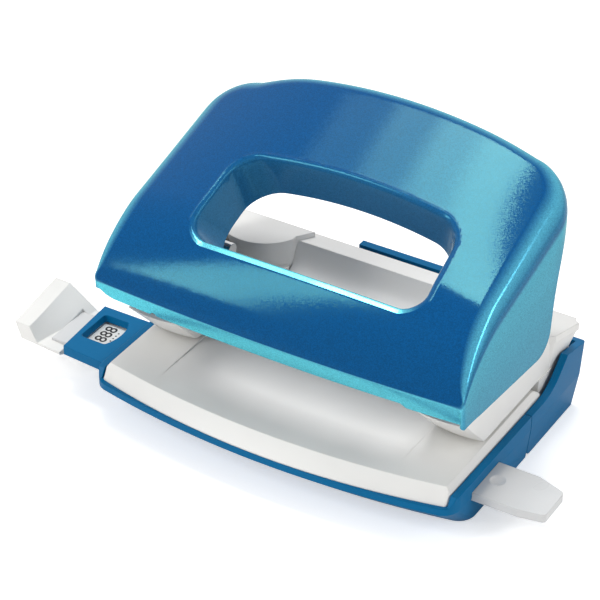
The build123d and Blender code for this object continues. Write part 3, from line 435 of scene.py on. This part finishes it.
class LeverForm:
    """Form of the pressed lever in millimetres, as columns of points from collar to flange."""

    # Side view of the top in its middle, as (y, z), and how it bows forwards and crowns there
    crease = (-37.4, 41.0)
    bend = (-29.6, 52.7)
    brow = (-18.0, 59.2)
    back = (32.0, 75.0)
    crease_bow, bend_bow, brow_bow = 2.0, 2.2, 1.5
    bend_crown, brow_crown, back_crown = 2.4, 4.9, 8.0

    # Border in plan, and the points along each of its stretches
    rear, rear_bow = 27.2, 1.1
    front_corner = 1.2
    front_count, small_count, side_count, corner_count, rear_count = 150, 9, 84, 24, 44
    key_inset, key_run = 7, 8

    # Folds between top and flank, and the lengths over which they change
    middle_fold, corner_folds = 4.6, (6.8, 4.4)
    front_run, corner_run, crease_run, crease_depth = 14.0, 16.0, 5.0, 2.5
    rear_edge = 0.3
    smoothings = 8

    # Flanges: the tuck of the front one, the lip behind and the steps of the lower edge
    lip_tuck = 0.36
    rear_lip, rear_lip_half, rear_lip_run = 6.0, 46.0, 5.0
    least_flange = 0.3
    front_reach, front_change = 2.0, 9.0
    overhang, straight_front = 1.9, 0.97
    probe_depth = 0.5

    # Hand opening in its own plane, and the foot of its collar
    grip_centre = np.array([2.4, -16.5, 62.7])
    grip_slope = radians(23.5)
    grip_front_half, grip_rear_half, grip_height = 33.6, 32.2, 28.0
    grip_rear_bow, grip_front_bow, grip_front_shift = 2.0, 0.5, 1.6
    grip_front_corner, grip_rear_corner = 5.6, 7.0
    foot_half, foot_height = 30.0, 26.6
    foot_front_corner, foot_rear_corner = 11.0, 8.5
    run_count, turn_count = 30, 16
    tangent_reach = 0.2

    # Flat strip along the front of the hand opening's rim
    strip, strip_drop, strip_flat = 2.1, 0.9, 0.65
    strip_places = (0.5, 0.94, 1.0)
    facing_power = 8

    # Points of a column on the collar, the rim, the top, the fold and the flange
    wall_count, rim_count, top_count, fold_count, flange_count = 7, 6, 27, 8, 9

    # Painted sheen of the lever, from 0 to 1: painted reflections on the collar wall, the rim strip
    # and the flanges, fading down the side flanges, and a painted highlight along the fold with a
    # faint painted dark line after it
    wall_light, strip_light, side_light, front_light = 0.08, 0.80, 0.36, 0.70
    side_fade = 0.35
    fold_glow = (0.0, 0.12, 0.30, 0.34, 0.20, 0.0, -0.15, 0.0)

    def __init__(self, sizes):
        self.half = sizes.half_width / MM
        self.lean = tan(sizes.flank_lean)
        self.front_fold = sizes.front_fold / MM
        self.side_fold = sizes.side_fold / MM
        self.rear_fold = sizes.rear_fold / MM
        self.crease_fold = sizes.crease_fold / MM
        self.corner = sizes.corner / MM
        self.rim = sizes.rim / MM
        self.depth = sizes.collar_depth / MM
        self.grip_normal = np.array([0, -sin(self.grip_slope), cos(self.grip_slope)])
        self.grip_up = np.array([0, cos(self.grip_slope), sin(self.grip_slope)])
        low = [(-80.0, 34.3), (-35.1, 34.3)]
        low += arc_points((2.4, 31.0), (7.6, 33.0), (9.6, 37.5), 10)
        low += arc_points((9.6, 37.5), (12.6, 50.5), (19.0, 65.0), 16)[1:]
        low += [(24.5, 69.0), (60.0, 76.0)]
        self.low_y, self.low_z = zip(*low)
        front = [(-55.0, 39.4), (-53.5, 38.4), (-51.0, 36.2), (-49.0, 35.6), (-36.9, 35.6),
                 (-35.9, 37.0), (-35.1, 35.6), (36.4, 35.5), (37.6, 34.3), (60.0, 34.3)]
        self.front_x, self.front_z = zip(*front)

    def top(self, x, y):
        """Height of the lever's top."""
        share = 1 - (x / self.half) ** 2
        crease = np.array([self.crease[0] - self.crease_bow * share, self.crease[1]])
        bend = np.array([self.bend[0] - self.bend_bow * share,
                         self.bend[1] + self.bend_crown * share])
        brow = np.array([self.brow[0] - self.brow_bow * share,
                         self.brow[1] + self.brow_crown * share])
        back = np.array([self.back[0], self.back[1] + self.back_crown * share])
        centre, radius = circle_through(crease, bend, brow)
        if y < brow[0]:
            return centre[1] + sqrt(max(radius**2 - (y - centre[0]) ** 2, 0.0))
        slope = -(brow[0] - centre[0]) / (brow[1] - centre[1])
        span = back[0] - brow[0]
        bow = (back[1] - brow[1] - slope * span) / span**2
        return brow[1] + slope * (y - brow[0]) + bow * (y - brow[0]) ** 2

    def plan(self):
        """Points and normals of the border in plan, once round from the middle of the front."""
        half, corner, small = self.half, self.corner, self.front_corner
        path = []
        for x in np.linspace(-(half - small), half - small, self.front_count):
            share = 1 - (x / half) ** 2
            slope = 2 * self.crease_bow * x / half**2
            size = sqrt(1 + slope**2)
            path.append((x, self.crease[0] - self.crease_bow * share, slope / size, -1 / size))
        front = path[-1][1]
        for t in np.linspace(-pi / 2, 0, self.small_count)[1:]:
            x, y = half - small + small * cos(t), front + small + small * sin(t)
            path.append((x, y, cos(t), sin(t)))
        for y in np.linspace(front + small, self.rear - corner, self.side_count)[1:]:
            path.append((half, y, 1.0, 0.0))
        for t in np.linspace(0, pi / 2, self.corner_count)[1:]:
            x, y = half - corner + corner * cos(t), self.rear - corner + corner * sin(t)
            path.append((x, y, cos(t), sin(t)))
        for x in np.linspace(half - corner, 0, self.rear_count)[1:]:
            share = 1 - (x / (half - corner)) ** 2
            path.append((x, self.rear + self.rear_bow * share, 0.0, 1.0))
        right = path[self.front_count // 2:]
        left = [(-x, y, -nx, ny) for x, y, nx, ny in reversed(right[:-1])]
        return np.array(right + left)

    def keys(self, plan):
        """Places along the border that face the ends of the hand opening's straight sides."""
        inner = self.half - self.key_inset
        x, y = plan[:, 0], plan[:, 1]
        front = y[0] + self.key_run
        right = [i for i in range(len(plan)) if x[i] > 0]
        first = next(i for i in right if x[i] > inner)
        second = next(i for i in right if y[i] > front and i > first)
        third = next(i for i in right if y[i] > self.rear - self.corner and i > second)
        fourth = next(i for i in right if i > third and x[i] < self.half - self.corner)
        keys = [first, second, third, fourth]
        return keys + [len(plan) - 1 - key for key in reversed(keys)]

    def grip_outline(self, f, r, h, front_corner, rear_corner, front_shift):
        """Outline of the hand opening, once round from the middle of its front, and its keys.

        f and r are half the widths of its front and rear, and h is half its height.
        """
        corners = [((f, -h), (0, -h), (r, h), front_corner), ((r, h), (f, -h), (0, h), rear_corner)]
        path = [np.array([0.0, -h])]
        keys = []
        for tip, before, after, radius in corners:
            tip, before, after = (np.array(p, float) for p in (tip, before, after))
            u = (before - tip) / np.linalg.norm(before - tip)
            v = (after - tip) / np.linalg.norm(after - tip)
            angle = np.arccos(np.clip(u @ v, -1, 1))
            reach = radius / tan(angle / 2)
            a, b = tip + u * reach, tip + v * reach
            path += [path[-1] * (1 - k) + a * k for k in np.linspace(0, 1, self.run_count)[1:]]
            keys.append(len(path) - 1)
            middle = (u + v) / np.linalg.norm(u + v)
            centre = tip + middle * radius / sin(angle / 2)
            turn = np.unwrap([np.arctan2(*(p - centre)[::-1]) for p in (a, b)])
            path += [centre + radius * np.array([cos(t), sin(t)])
                     for t in np.linspace(turn[0], turn[1], self.turn_count)[1:]]
            keys.append(len(path) - 1)
        last = np.array([0.0, h])
        path += [path[-1] * (1 - k) + last * k for k in np.linspace(0, 1, self.run_count)[1:]]
        right = np.array(path)
        for p in right:
            if p[1] > 0:
                p[1] += self.grip_rear_bow * (1 - (p[0] / r) ** 2) * p[1] / h
            else:
                bow = self.grip_front_bow * (1 - (p[0] / f) ** 2)
                p[1] += (bow - front_shift) * p[1] / h
        left = right[1:-1][::-1] * np.array([-1, 1])
        whole = np.concatenate([right, left])
        return whole, keys + [len(whole) - k for k in reversed(keys)]

    def on_top(self, u, v):
        """Point of the top that lies square above a point of the hand opening's plane."""
        h = 0.0
        for _ in range(9):
            p = self.grip_centre + np.array([u, 0, 0]) + self.grip_up * v + self.grip_normal * h
            h -= (p[2] - self.top(p[0], p[1])) / 1.08
        return p

    def rounded(self, start, edge, end, count):
        """Points of a rounding that leaves start and reaches end, both towards the sharp edge."""
        a, b = start - edge, end - edge
        angle = np.arccos(np.clip(a @ b / np.linalg.norm(a) / np.linalg.norm(b), -1, 1))
        weight = sin(angle / 2)
        points = []
        for s in np.linspace(0, 1, count):
            parts = (1 - s) ** 2, 2 * weight * s * (1 - s), s**2
            points.append((start * parts[0] + edge * parts[1] + end * parts[2]) / sum(parts))
        return points

    def fold_at(self, x, y, front):
        """Radius between top and flank at a place of the border."""
        share = held((y - front) / (self.rear - self.corner - front))
        fold = self.middle_fold + (self.side_fold - self.middle_fold) * share
        fold += (self.front_fold - fold) * (1 - held((y - front) / self.front_run)) ** 2
        back = held((y - self.rear + self.corner) / self.corner)
        corner_fold = self.corner_folds[0 if x < 0 else 1]
        fold += (corner_fold - fold) * back
        if back == 1.0 or y > self.rear - self.rear_edge:
            past = held((self.half - self.corner - abs(x)) / self.corner_run)
            fold = corner_fold + (self.rear_fold - corner_fold) * past * (2 - past)
        if y < front + self.crease_depth:
            near = held((self.half - abs(x)) / self.crease_run)
            near = near * near * (3 - 2 * near)
            return fold + (self.crease_fold - fold) * near
        return fold

    def lower_edge(self, x, y, ny, front, edge_z):
        """Height of the flange's lower edge at a place of the border."""
        low = np.interp(y, self.low_y, self.low_z)
        ahead = held(1 - (y - front - self.front_reach) / self.front_change)
        low += (np.interp(x, self.front_x, self.front_z) - low) * ahead
        if ny > 0.5:
            near = held((self.rear_lip_half - abs(x)) / self.rear_lip_run)
            low = max(low, low + (edge_z - self.rear_lip - low) * near)
        return low

    def outer(self, plan):
        """For every place of the border: the rounding from top to flange, and the flange's foot."""
        front = plan[:, 1].min()
        rows = []
        for x, y, nx, ny in plan:
            out = np.array([nx, ny, 0.0])
            forward = held(-ny) ** 2
            slope = self.lean * (1 - forward) - self.lip_tuck * forward
            z = self.crease[1]
            if forward < self.straight_front:
                for _ in range(12):
                    shift = (self.crease[1] - z) * slope
                    ahead = max(y + ny * shift, self.crease[0] - self.overhang)
                    z = 0.5 * z + 0.5 * self.top(x + nx * shift, ahead)
            edge = np.array([x, y, z]) + out * (self.crease[1] - z) * slope
            fold = self.fold_at(x, y, front)
            probe = edge - out * self.probe_depth
            rise = (self.top(probe[0], probe[1]) - edge[2]) / self.probe_depth
            inward = np.array([-nx, -ny, rise]) / sqrt(1 + rise**2)
            down = np.array([nx * slope, ny * slope, -1.0]) / sqrt(1 + slope**2)
            angle = np.arccos(np.clip(inward @ down, -1, 1))
            reach = fold / tan(angle / 2)
            start, end = edge + inward * reach, edge + down * reach
            low = min(self.lower_edge(x, y, ny, front, edge[2]), end[2] - self.least_flange)
            foot = edge + down * (edge[2] - low) / -down[2]
            rows.append((start, edge, end, foot, forward))
        starts = np.array([row[0][:2] for row in rows])
        for _ in range(self.smoothings):
            starts = (np.roll(starts, 1, axis=0) + 2 * starts + np.roll(starts, -1, axis=0)) / 4
        return [(np.array([x, y, self.top(x, y)]), *row[1:]) for (x, y), row in zip(starts, rows)]

    def column(self, place, foot_place, normal, start, edge, end, foot, forward):
        """Points from the collar's foot to the flange's foot, and the painted sheen at each of
        them.
        """
        facing = max(-normal[1], 0.0) ** self.facing_power
        sharp = self.on_top(*place) - self.grip_normal * self.strip_drop * facing
        drop = foot_place - place
        drop = np.array([drop[0], 0, 0]) + self.grip_up * drop[1]
        wall = drop / self.depth - self.grip_normal
        low = sharp + wall * self.rim
        bottom = sharp + wall * self.depth
        points = [bottom + (low - bottom) * k for k in np.linspace(0, 1, self.wall_count)[:-1]]
        # Painted reflection on the collar wall and the rim's flat front strip.
        lights = [self.wall_light] * len(points)

        bed = self.on_top(*(place + normal * (self.rim + (self.strip - self.rim) * facing)))
        near = sharp + (bed - sharp) * (1 - self.strip_flat * facing)
        points += self.rounded(low, sharp, near, self.rim_count)
        points += [near + (bed - near) * k for k in self.strip_places]
        lights += list(np.linspace(self.wall_light, self.strip_light * facing, self.rim_count))
        lights += [self.strip_light * facing] * 2 + [0.0]

        for k in np.linspace(0, 1, self.top_count)[1:-1]:
            x, y = bed[0] + (start[0] - bed[0]) * k, bed[1] + (start[1] - bed[1]) * k
            points.append(np.array([x, y, self.top(x, y)]))
            lights.append(0.0)

        # Painted reflection on the flange, stronger to the front and fading downwards on the sides,
        # and a painted highlight with a faint painted dark line along the fold.
        last = self.side_light + (self.front_light - self.side_light) * forward
        points += self.rounded(start, edge, end, self.fold_count)
        lights += [last * k**3 + glow * (1 - forward)
                   for k, glow in zip(np.linspace(0, 1, self.fold_count), self.fold_glow)]
        for k in np.linspace(0, 1, self.flange_count)[1:]:
            points.append(end + (foot - end) * k)
            lights.append(last * (1 - self.side_fade * k * (1 - forward)))
        return points, lights

    def columns(self):
        """All columns round the lever, and the painted sheen along them."""
        plan = self.plan()
        outline, outline_keys = self.grip_outline(
            self.grip_front_half, self.grip_rear_half, self.grip_height / 2,
            self.grip_front_corner, self.grip_rear_corner, self.grip_front_shift)
        foot_line, _ = self.grip_outline(
            self.foot_half, self.foot_half, self.foot_height / 2,
            self.foot_front_corner, self.foot_rear_corner, 0.0)
        closed = np.concatenate([outline, outline[:1]])
        foot_closed = np.concatenate([foot_line, foot_line[:1]])
        along, border = run_lengths(closed), run_lengths(plan[:, :2])
        border_total = border[-1] + np.linalg.norm(plan[0, :2] - plan[-1, :2])
        key_from = [0.0] + [border[k] for k in self.keys(plan)] + [border_total]
        key_to = [0.0] + [along[k] for k in outline_keys] + [along[-1]]
        places = np.interp(border, key_from, key_to)
        line = np.stack([np.interp(places, along, closed[:, i]) for i in (0, 1)], axis=1)
        foot = np.stack([np.interp(places, along, foot_closed[:, i]) for i in (0, 1)], axis=1)
        longer = np.concatenate([closed, closed[1:2]])
        stretch = np.append(along, along[-1] + 1)
        ahead = [np.interp(places + self.tangent_reach, stretch, longer[:, i]) for i in (0, 1)]
        normals = np.stack([ahead[1] - line[:, 1], -(ahead[0] - line[:, 0])], axis=1)
        normals /= np.hypot(normals[:, 0], normals[:, 1])[:, None]
        made = [self.column(*ends, *row)
                for *ends, row in zip(line, foot, normals, self.outer(plan))]
        return [points for points, _ in made], [lights for _, lights in made]


def build_lever():
    """Pressed lever with its flanges and hand opening."""
    sizes = bpy.context.scene.punch_lever
    columns, lights = LeverForm(sizes).columns()
    size, count = len(columns[0]), len(columns)
    points = [p for column in columns for p in column]
    faces = []
    for j in range(count):
        here, there = j * size, (j + 1) % count * size
        faces += [(here + i, here + i + 1, there + i + 1, there + i) for i in range(size - 1)]
    shell = mesh_object("lever_form", points, faces, flake_paint())
    # The painted sheen goes onto the mesh as a point attribute for the paint.
    openness = shell.data.attributes.new(OPEN_FLAKES, "FLOAT", "POINT")
    openness.data.foreach_set("value", [float(value) for light in lights for value in light])
    wall = shell.modifiers.new("sheet", "SOLIDIFY")
    wall.thickness = sizes.sheet
    wall.offset = -1.0
    ease = shell.modifiers.new("ease", "BEVEL")
    ease.width = sizes.eased_edge
    ease.segments = 2
    ease.limit_method = "ANGLE"
    ease.angle_limit = radians(60)
    lever = finished(shell, "lever_shell")
    lever.data.set_sharp_from_angle(angle=radians(50))
    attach(lever, "lever")
    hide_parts("lever")


# Springs


def build_springs():
    """Springs of the punches, copied from their solids and fastened to the base."""
    for side in ("left", "right"):
        node = frame["nodes"][side + "_spring"]
        mesh = node.data.copy()
        mesh.transform(node.matrix_world)
        coil = bpy.data.objects.new(side + "_coil", mesh)
        bpy.context.scene.collection.objects.link(coil)
        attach(coil, "base")
        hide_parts(side + "_spring")
        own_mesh(coil)


# Print on the strip


def dot_tree():
    """Row of flat round dots."""
    tree = bpy.data.node_groups.new("dot_row", "GeometryNodeTree")
    sockets = {}
    for label, kind in (("Diameter", "NodeSocketFloat"), ("Pitch", "NodeSocketFloat"),
                        ("Count", "NodeSocketInt"), ("Material", "NodeSocketMaterial")):
        socket = tree.interface.new_socket(name=label, in_out="INPUT", socket_type=kind)
        sockets[label] = socket.identifier
    tree.interface.new_socket(name="Geometry", in_out="OUTPUT", socket_type="NodeSocketGeometry")
    start, end = tree.nodes.new("NodeGroupInput"), tree.nodes.new("NodeGroupOutput")
    offset = tree.nodes.new("ShaderNodeCombineXYZ")
    row = tree.nodes.new("GeometryNodeMeshLine")
    dot = tree.nodes.new("GeometryNodeMeshCircle")
    dot.fill_type = "NGON"
    dot.inputs["Vertices"].default_value = 20
    radius = tree.nodes.new("ShaderNodeMath")
    radius.operation = "MULTIPLY"
    radius.inputs[1].default_value = 0.5
    placed = tree.nodes.new("GeometryNodeInstanceOnPoints")
    real = tree.nodes.new("GeometryNodeRealizeInstances")
    painted = tree.nodes.new("GeometryNodeSetMaterial")
    link = tree.links.new
    link(start.outputs["Pitch"], offset.inputs["Y"])
    link(start.outputs["Count"], row.inputs["Count"])
    link(offset.outputs[0], row.inputs["Offset"])
    link(start.outputs["Diameter"], radius.inputs[0])
    link(radius.outputs[0], dot.inputs["Radius"])
    link(row.outputs["Mesh"], placed.inputs["Points"])
    link(dot.outputs["Mesh"], placed.inputs["Instance"])
    link(placed.outputs[0], real.inputs[0])
    link(real.outputs[0], painted.inputs["Geometry"])
    link(start.outputs["Material"], painted.inputs["Material"])
    link(painted.outputs[0], end.inputs[0])
    return tree, sockets


def build_print():
    """Digits and dots on the strip below the window."""
    sizes = bpy.context.scene.punch_print
    colours = bpy.context.scene.punch_colours
    digits_place, dots_place = (-0.0626, -0.0211), (-0.0600, -0.0231)
    clearance, ink_depth, thickening = 0.00003, 0.00001, 0.00004
    font_size = 1.38 * sizes.digit_height
    ink = plastic("strip_ink", colours.ink, 0.5, 2600.0, 0.00001, 0.00002)
    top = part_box("index_strip")[1].z + clearance
    text = bpy.data.curves.new("digits", "FONT")
    text.body = "888"
    text.align_x = "CENTER"
    text.align_y = "CENTER"
    text.size = font_size
    text.offset = thickening
    text.extrude = ink_depth
    letters = bpy.data.objects.new("digits", text)
    letters.data.materials.append(ink)
    bpy.context.scene.collection.objects.link(letters)
    quarter_turn = Matrix.Rotation(pi / 2, 4, "Z")
    letters.matrix_world = Matrix.Translation((*digits_place, top)) @ quarter_turn
    digits = finished(letters, "strip_digits")
    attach(digits, "guide")
    tree, sockets = dot_tree()
    mesh = bpy.data.meshes.new("dots")
    mesh.materials.append(ink)
    holder = bpy.data.objects.new("dots", mesh)
    bpy.context.scene.collection.objects.link(holder)
    rule = holder.modifiers.new("dots", "NODES")
    rule.node_group = tree
    rule[sockets["Diameter"]] = sizes.dot
    rule[sockets["Pitch"]] = sizes.dot_pitch
    rule[sockets["Count"]] = sizes.dot_count
    rule[sockets["Material"]] = ink
    holder.matrix_world = Matrix.Translation((*dots_place, top))
    dots = finished(holder, "strip_dots")
    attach(dots, "guide")


# Stage


def build_floor():
    """Pale floor, lightened to the camera so that it meets the white background."""
    half, drop = 3000.0, -0.02
    material, tree, body = new_material("floor_paint")
    body.inputs["Base Color"].default_value = (*bpy.context.scene.punch_colours.floor, 1.0)
    body.inputs["Roughness"].default_value = 0.7
    body.inputs["Specular IOR Level"].default_value = 0.2
    body.inputs["Emission Color"].default_value = (1.0, 1.0, 1.0, 1.0)
    ray = shader(tree, "ShaderNodeLightPath")
    seen = shader(tree, "ShaderNodeMapRange", {"To Max": 0.45})
    tree.links.new(ray.outputs["Is Camera Ray"], seen.inputs["Value"])
    tree.links.new(seen.outputs["Result"], body.inputs["Emission Strength"])
    corners = [(-half, -half, drop), (half, -half, drop), (half, half, drop), (-half, half, drop)]
    mesh_object("floor", corners, [(0, 1, 2, 3)], material, smooth=False)


def build_background():
    """White to the camera and in mirrored and clear surfaces, and softer as a light."""
    world = bpy.data.worlds.new("studio")
    bpy.context.scene.world = world
    world.use_nodes = True
    tree = world.node_tree
    tree.nodes.clear()
    white = (1.0, 1.0, 1.0, 1.0)
    ray = shader(tree, "ShaderNodeLightPath")
    shiny = shader(tree, "ShaderNodeMath", operation="MAXIMUM")
    clear = shader(tree, "ShaderNodeMath", operation="MAXIMUM")
    soft = shader(tree, "ShaderNodeBackground", {"Color": white, "Strength": 0.38})
    plain = shader(tree, "ShaderNodeBackground", {"Color": white, "Strength": 1.0})
    mixed = shader(tree, "ShaderNodeMixShader")
    end = shader(tree, "ShaderNodeOutputWorld")
    tree.links.new(ray.outputs["Is Camera Ray"], shiny.inputs[0])
    tree.links.new(ray.outputs["Is Glossy Ray"], shiny.inputs[1])
    tree.links.new(shiny.outputs[0], clear.inputs[0])
    tree.links.new(ray.outputs["Is Transmission Ray"], clear.inputs[1])
    tree.links.new(clear.outputs[0], mixed.inputs["Fac"])
    tree.links.new(soft.outputs[0], mixed.inputs[1])
    tree.links.new(plain.outputs[0], mixed.inputs[2])
    tree.links.new(mixed.outputs[0], end.inputs["Surface"])


def build_lamps():
    """Soft boxes, each by its place, the direction and size of its sides, and its radiance."""
    aim = Vector((0.0, 0.0, 0.06))
    ahead, beside = Vector((1.0, 0.0, 0.0)), Vector((0.824, -0.566, 0.0))
    aside, along = Vector((0.0, 1.0, 0.0)), Vector((0.22, -0.89, -0.39))
    for name, place, across, size, radiance in (
        ("top_lamp_1", (-0.06, 0.27, 1.07), ahead, (0.16, 0.36), 17.0),
        ("top_lamp_2", (-0.21, 0.27, 1.07), ahead, (0.14, 0.36), 11.5),
        ("top_lamp_3", (-0.36, 0.27, 1.07), ahead, (0.16, 0.36), 5.4),
        ("top_lamp_4", (-0.54, 0.27, 1.07), ahead, (0.20, 0.36), 1.6),
        ("front_lamp", (-0.68, -0.99, 0.83), beside, (0.27, 1.05), 11.0),
        ("edge_lamp", (0.86, -0.01, 0.56), along, (0.95, 0.12), 8.0),
        ("side_lamp", (1.10, -0.15, 0.35), aside, (1.0, 0.5), 0.7),
    ):
        lamp = bpy.data.lights.new(name, "AREA")
        lamp.shape = "RECTANGLE"
        lamp.size, lamp.size_y = size
        lamp.energy = radiance * pi * size[0] * size[1]
        made = bpy.data.objects.new(name, lamp)
        bpy.context.scene.collection.objects.link(made)
        toward = (Vector(place) - aim).normalized()
        upward = toward.cross(across).normalized()
        turned = Matrix((upward.cross(toward), upward, toward)).transposed().to_4x4()
        made.matrix_world = Matrix.Translation(place) @ turned


def build_camera():
    """Camera at the photograph's viewing angle."""
    place = (0.2632, -0.45575, 0.3903)
    right = Vector((0.8540, 0.5203, 0.0)).normalized()
    back = Vector((0.4299, -0.7057, 0.5631)).normalized()
    turned = Matrix((right, back.cross(right), back)).transposed().to_4x4()
    camera = bpy.data.cameras.new("camera")
    camera.lens = 147.06
    camera.sensor_width = 36.0
    camera.clip_start = 0.01
    camera.clip_end = 20.0
    seat = bpy.data.objects.new("camera", camera)
    bpy.context.scene.collection.objects.link(seat)
    seat.matrix_world = Matrix.Translation(place) @ turned
    bpy.context.scene.camera = seat


def build_stage():
    """Floor, white background, lamps and camera."""
    bpy.context.scene.view_settings.view_transform = "Standard"
    build_floor()
    build_background()
    build_lamps()
    build_camera()


# Operators and panel


class PUNCH_OT_lever(bpy.types.Operator):
    """Build the painted lever"""

    bl_idname = "punch.lever"
    bl_label = "Lever"

    def execute(self, context):
        build_lever()
        return {"FINISHED"}


class PUNCH_OT_trays(bpy.types.Operator):
    """Dress the blue trays"""

    bl_idname = "punch.trays"
    bl_label = "Trays"

    def execute(self, context):
        dress("base_tray", "chip_tray")
        return {"FINISHED"}


class PUNCH_OT_table(bpy.types.Operator):
    """Dress the white table, housing and tower covers"""

    bl_idname = "punch.table"
    bl_label = "Table and towers"

    def execute(self, context):
        dress("paper_table", "rear_housing", "left_tower_cover", "right_tower_cover")
        return {"FINISHED"}


class PUNCH_OT_mechanism(bpy.types.Operator):
    """Dress the frames, punches, springs, arms and pins"""

    bl_idname = "punch.mechanism"
    bl_label = "Mechanism"

    def execute(self, context):
        dress("hinge_pins", "frame_screws", "axle_clips")
        for piece in ("frame", "die", "sleeve", "punch_pin", "spring_washer", "pin_clip", "spring",
                      "axle", "lever_arm", "press_stud"):
            dress("left_" + piece, "right_" + piece)
        build_springs()
        return {"FINISHED"}


class PUNCH_OT_guide(bpy.types.Operator):
    """Dress the edge guide and print its strip"""

    bl_idname = "punch.guide"
    bl_label = "Edge guide"

    def execute(self, context):
        dress("guide_bar", "index_strip", "guide_stop")
        build_print()
        return {"FINISHED"}


class PUNCH_OT_stage(bpy.types.Operator):
    """Set up the floor, the lamps and the camera"""

    bl_idname = "punch.stage"
    bl_label = "Stage"

    def execute(self, context):
        build_stage()
        return {"FINISHED"}


class PUNCH_PT_sidebar(bpy.types.Panel):
    """Sizes, colours and pieces of the hole punch"""

    bl_idname = "PUNCH_PT_sidebar"
    bl_label = "Hole punch"
    bl_space_type = "VIEW_3D"
    bl_region_type = "UI"
    bl_category = "Hole punch"

    def draw(self, context):
        scene = context.scene
        for label, settings in (("Lever", scene.punch_lever), ("Springs", scene.punch_springs),
                                ("Print", scene.punch_print), ("Colours", scene.punch_colours)):
            box = self.layout.box()
            box.label(text=label)
            for key in settings.bl_rna.properties.keys():
                if key not in {"rna_type", "name"}:
                    box.prop(settings, key)
        for operator in OPERATORS:
            self.layout.operator(operator.bl_idname)


SETTINGS = (PunchLeverSizes, PunchSpringSizes, PunchPrintSizes, PunchColours)
OPERATORS = (PUNCH_OT_trays, PUNCH_OT_table, PUNCH_OT_mechanism, PUNCH_OT_guide, PUNCH_OT_lever,
             PUNCH_OT_stage)
CLASSES = (*SETTINGS, *OPERATORS, PUNCH_PT_sidebar)


def register():
    for item in CLASSES:
        bpy.utils.register_class(item)
    bpy.types.Scene.punch_lever = PointerProperty(type=PunchLeverSizes)
    bpy.types.Scene.punch_springs = PointerProperty(type=PunchSpringSizes)
    bpy.types.Scene.punch_print = PointerProperty(type=PunchPrintSizes)
    bpy.types.Scene.punch_colours = PointerProperty(type=PunchColours)


def unregister():
    del bpy.types.Scene.punch_lever
    del bpy.types.Scene.punch_springs
    del bpy.types.Scene.punch_print
    del bpy.types.Scene.punch_colours
    for item in reversed(CLASSES):
        bpy.utils.unregister_class(item)


def main():
    """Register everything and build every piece."""
    register()
    bpy.ops.punch.trays()
    bpy.ops.punch.table()
    bpy.ops.punch.mechanism()
    bpy.ops.punch.guide()
    bpy.ops.punch.lever()
    bpy.ops.punch.stage()


if __name__ == "__main__":
    main()
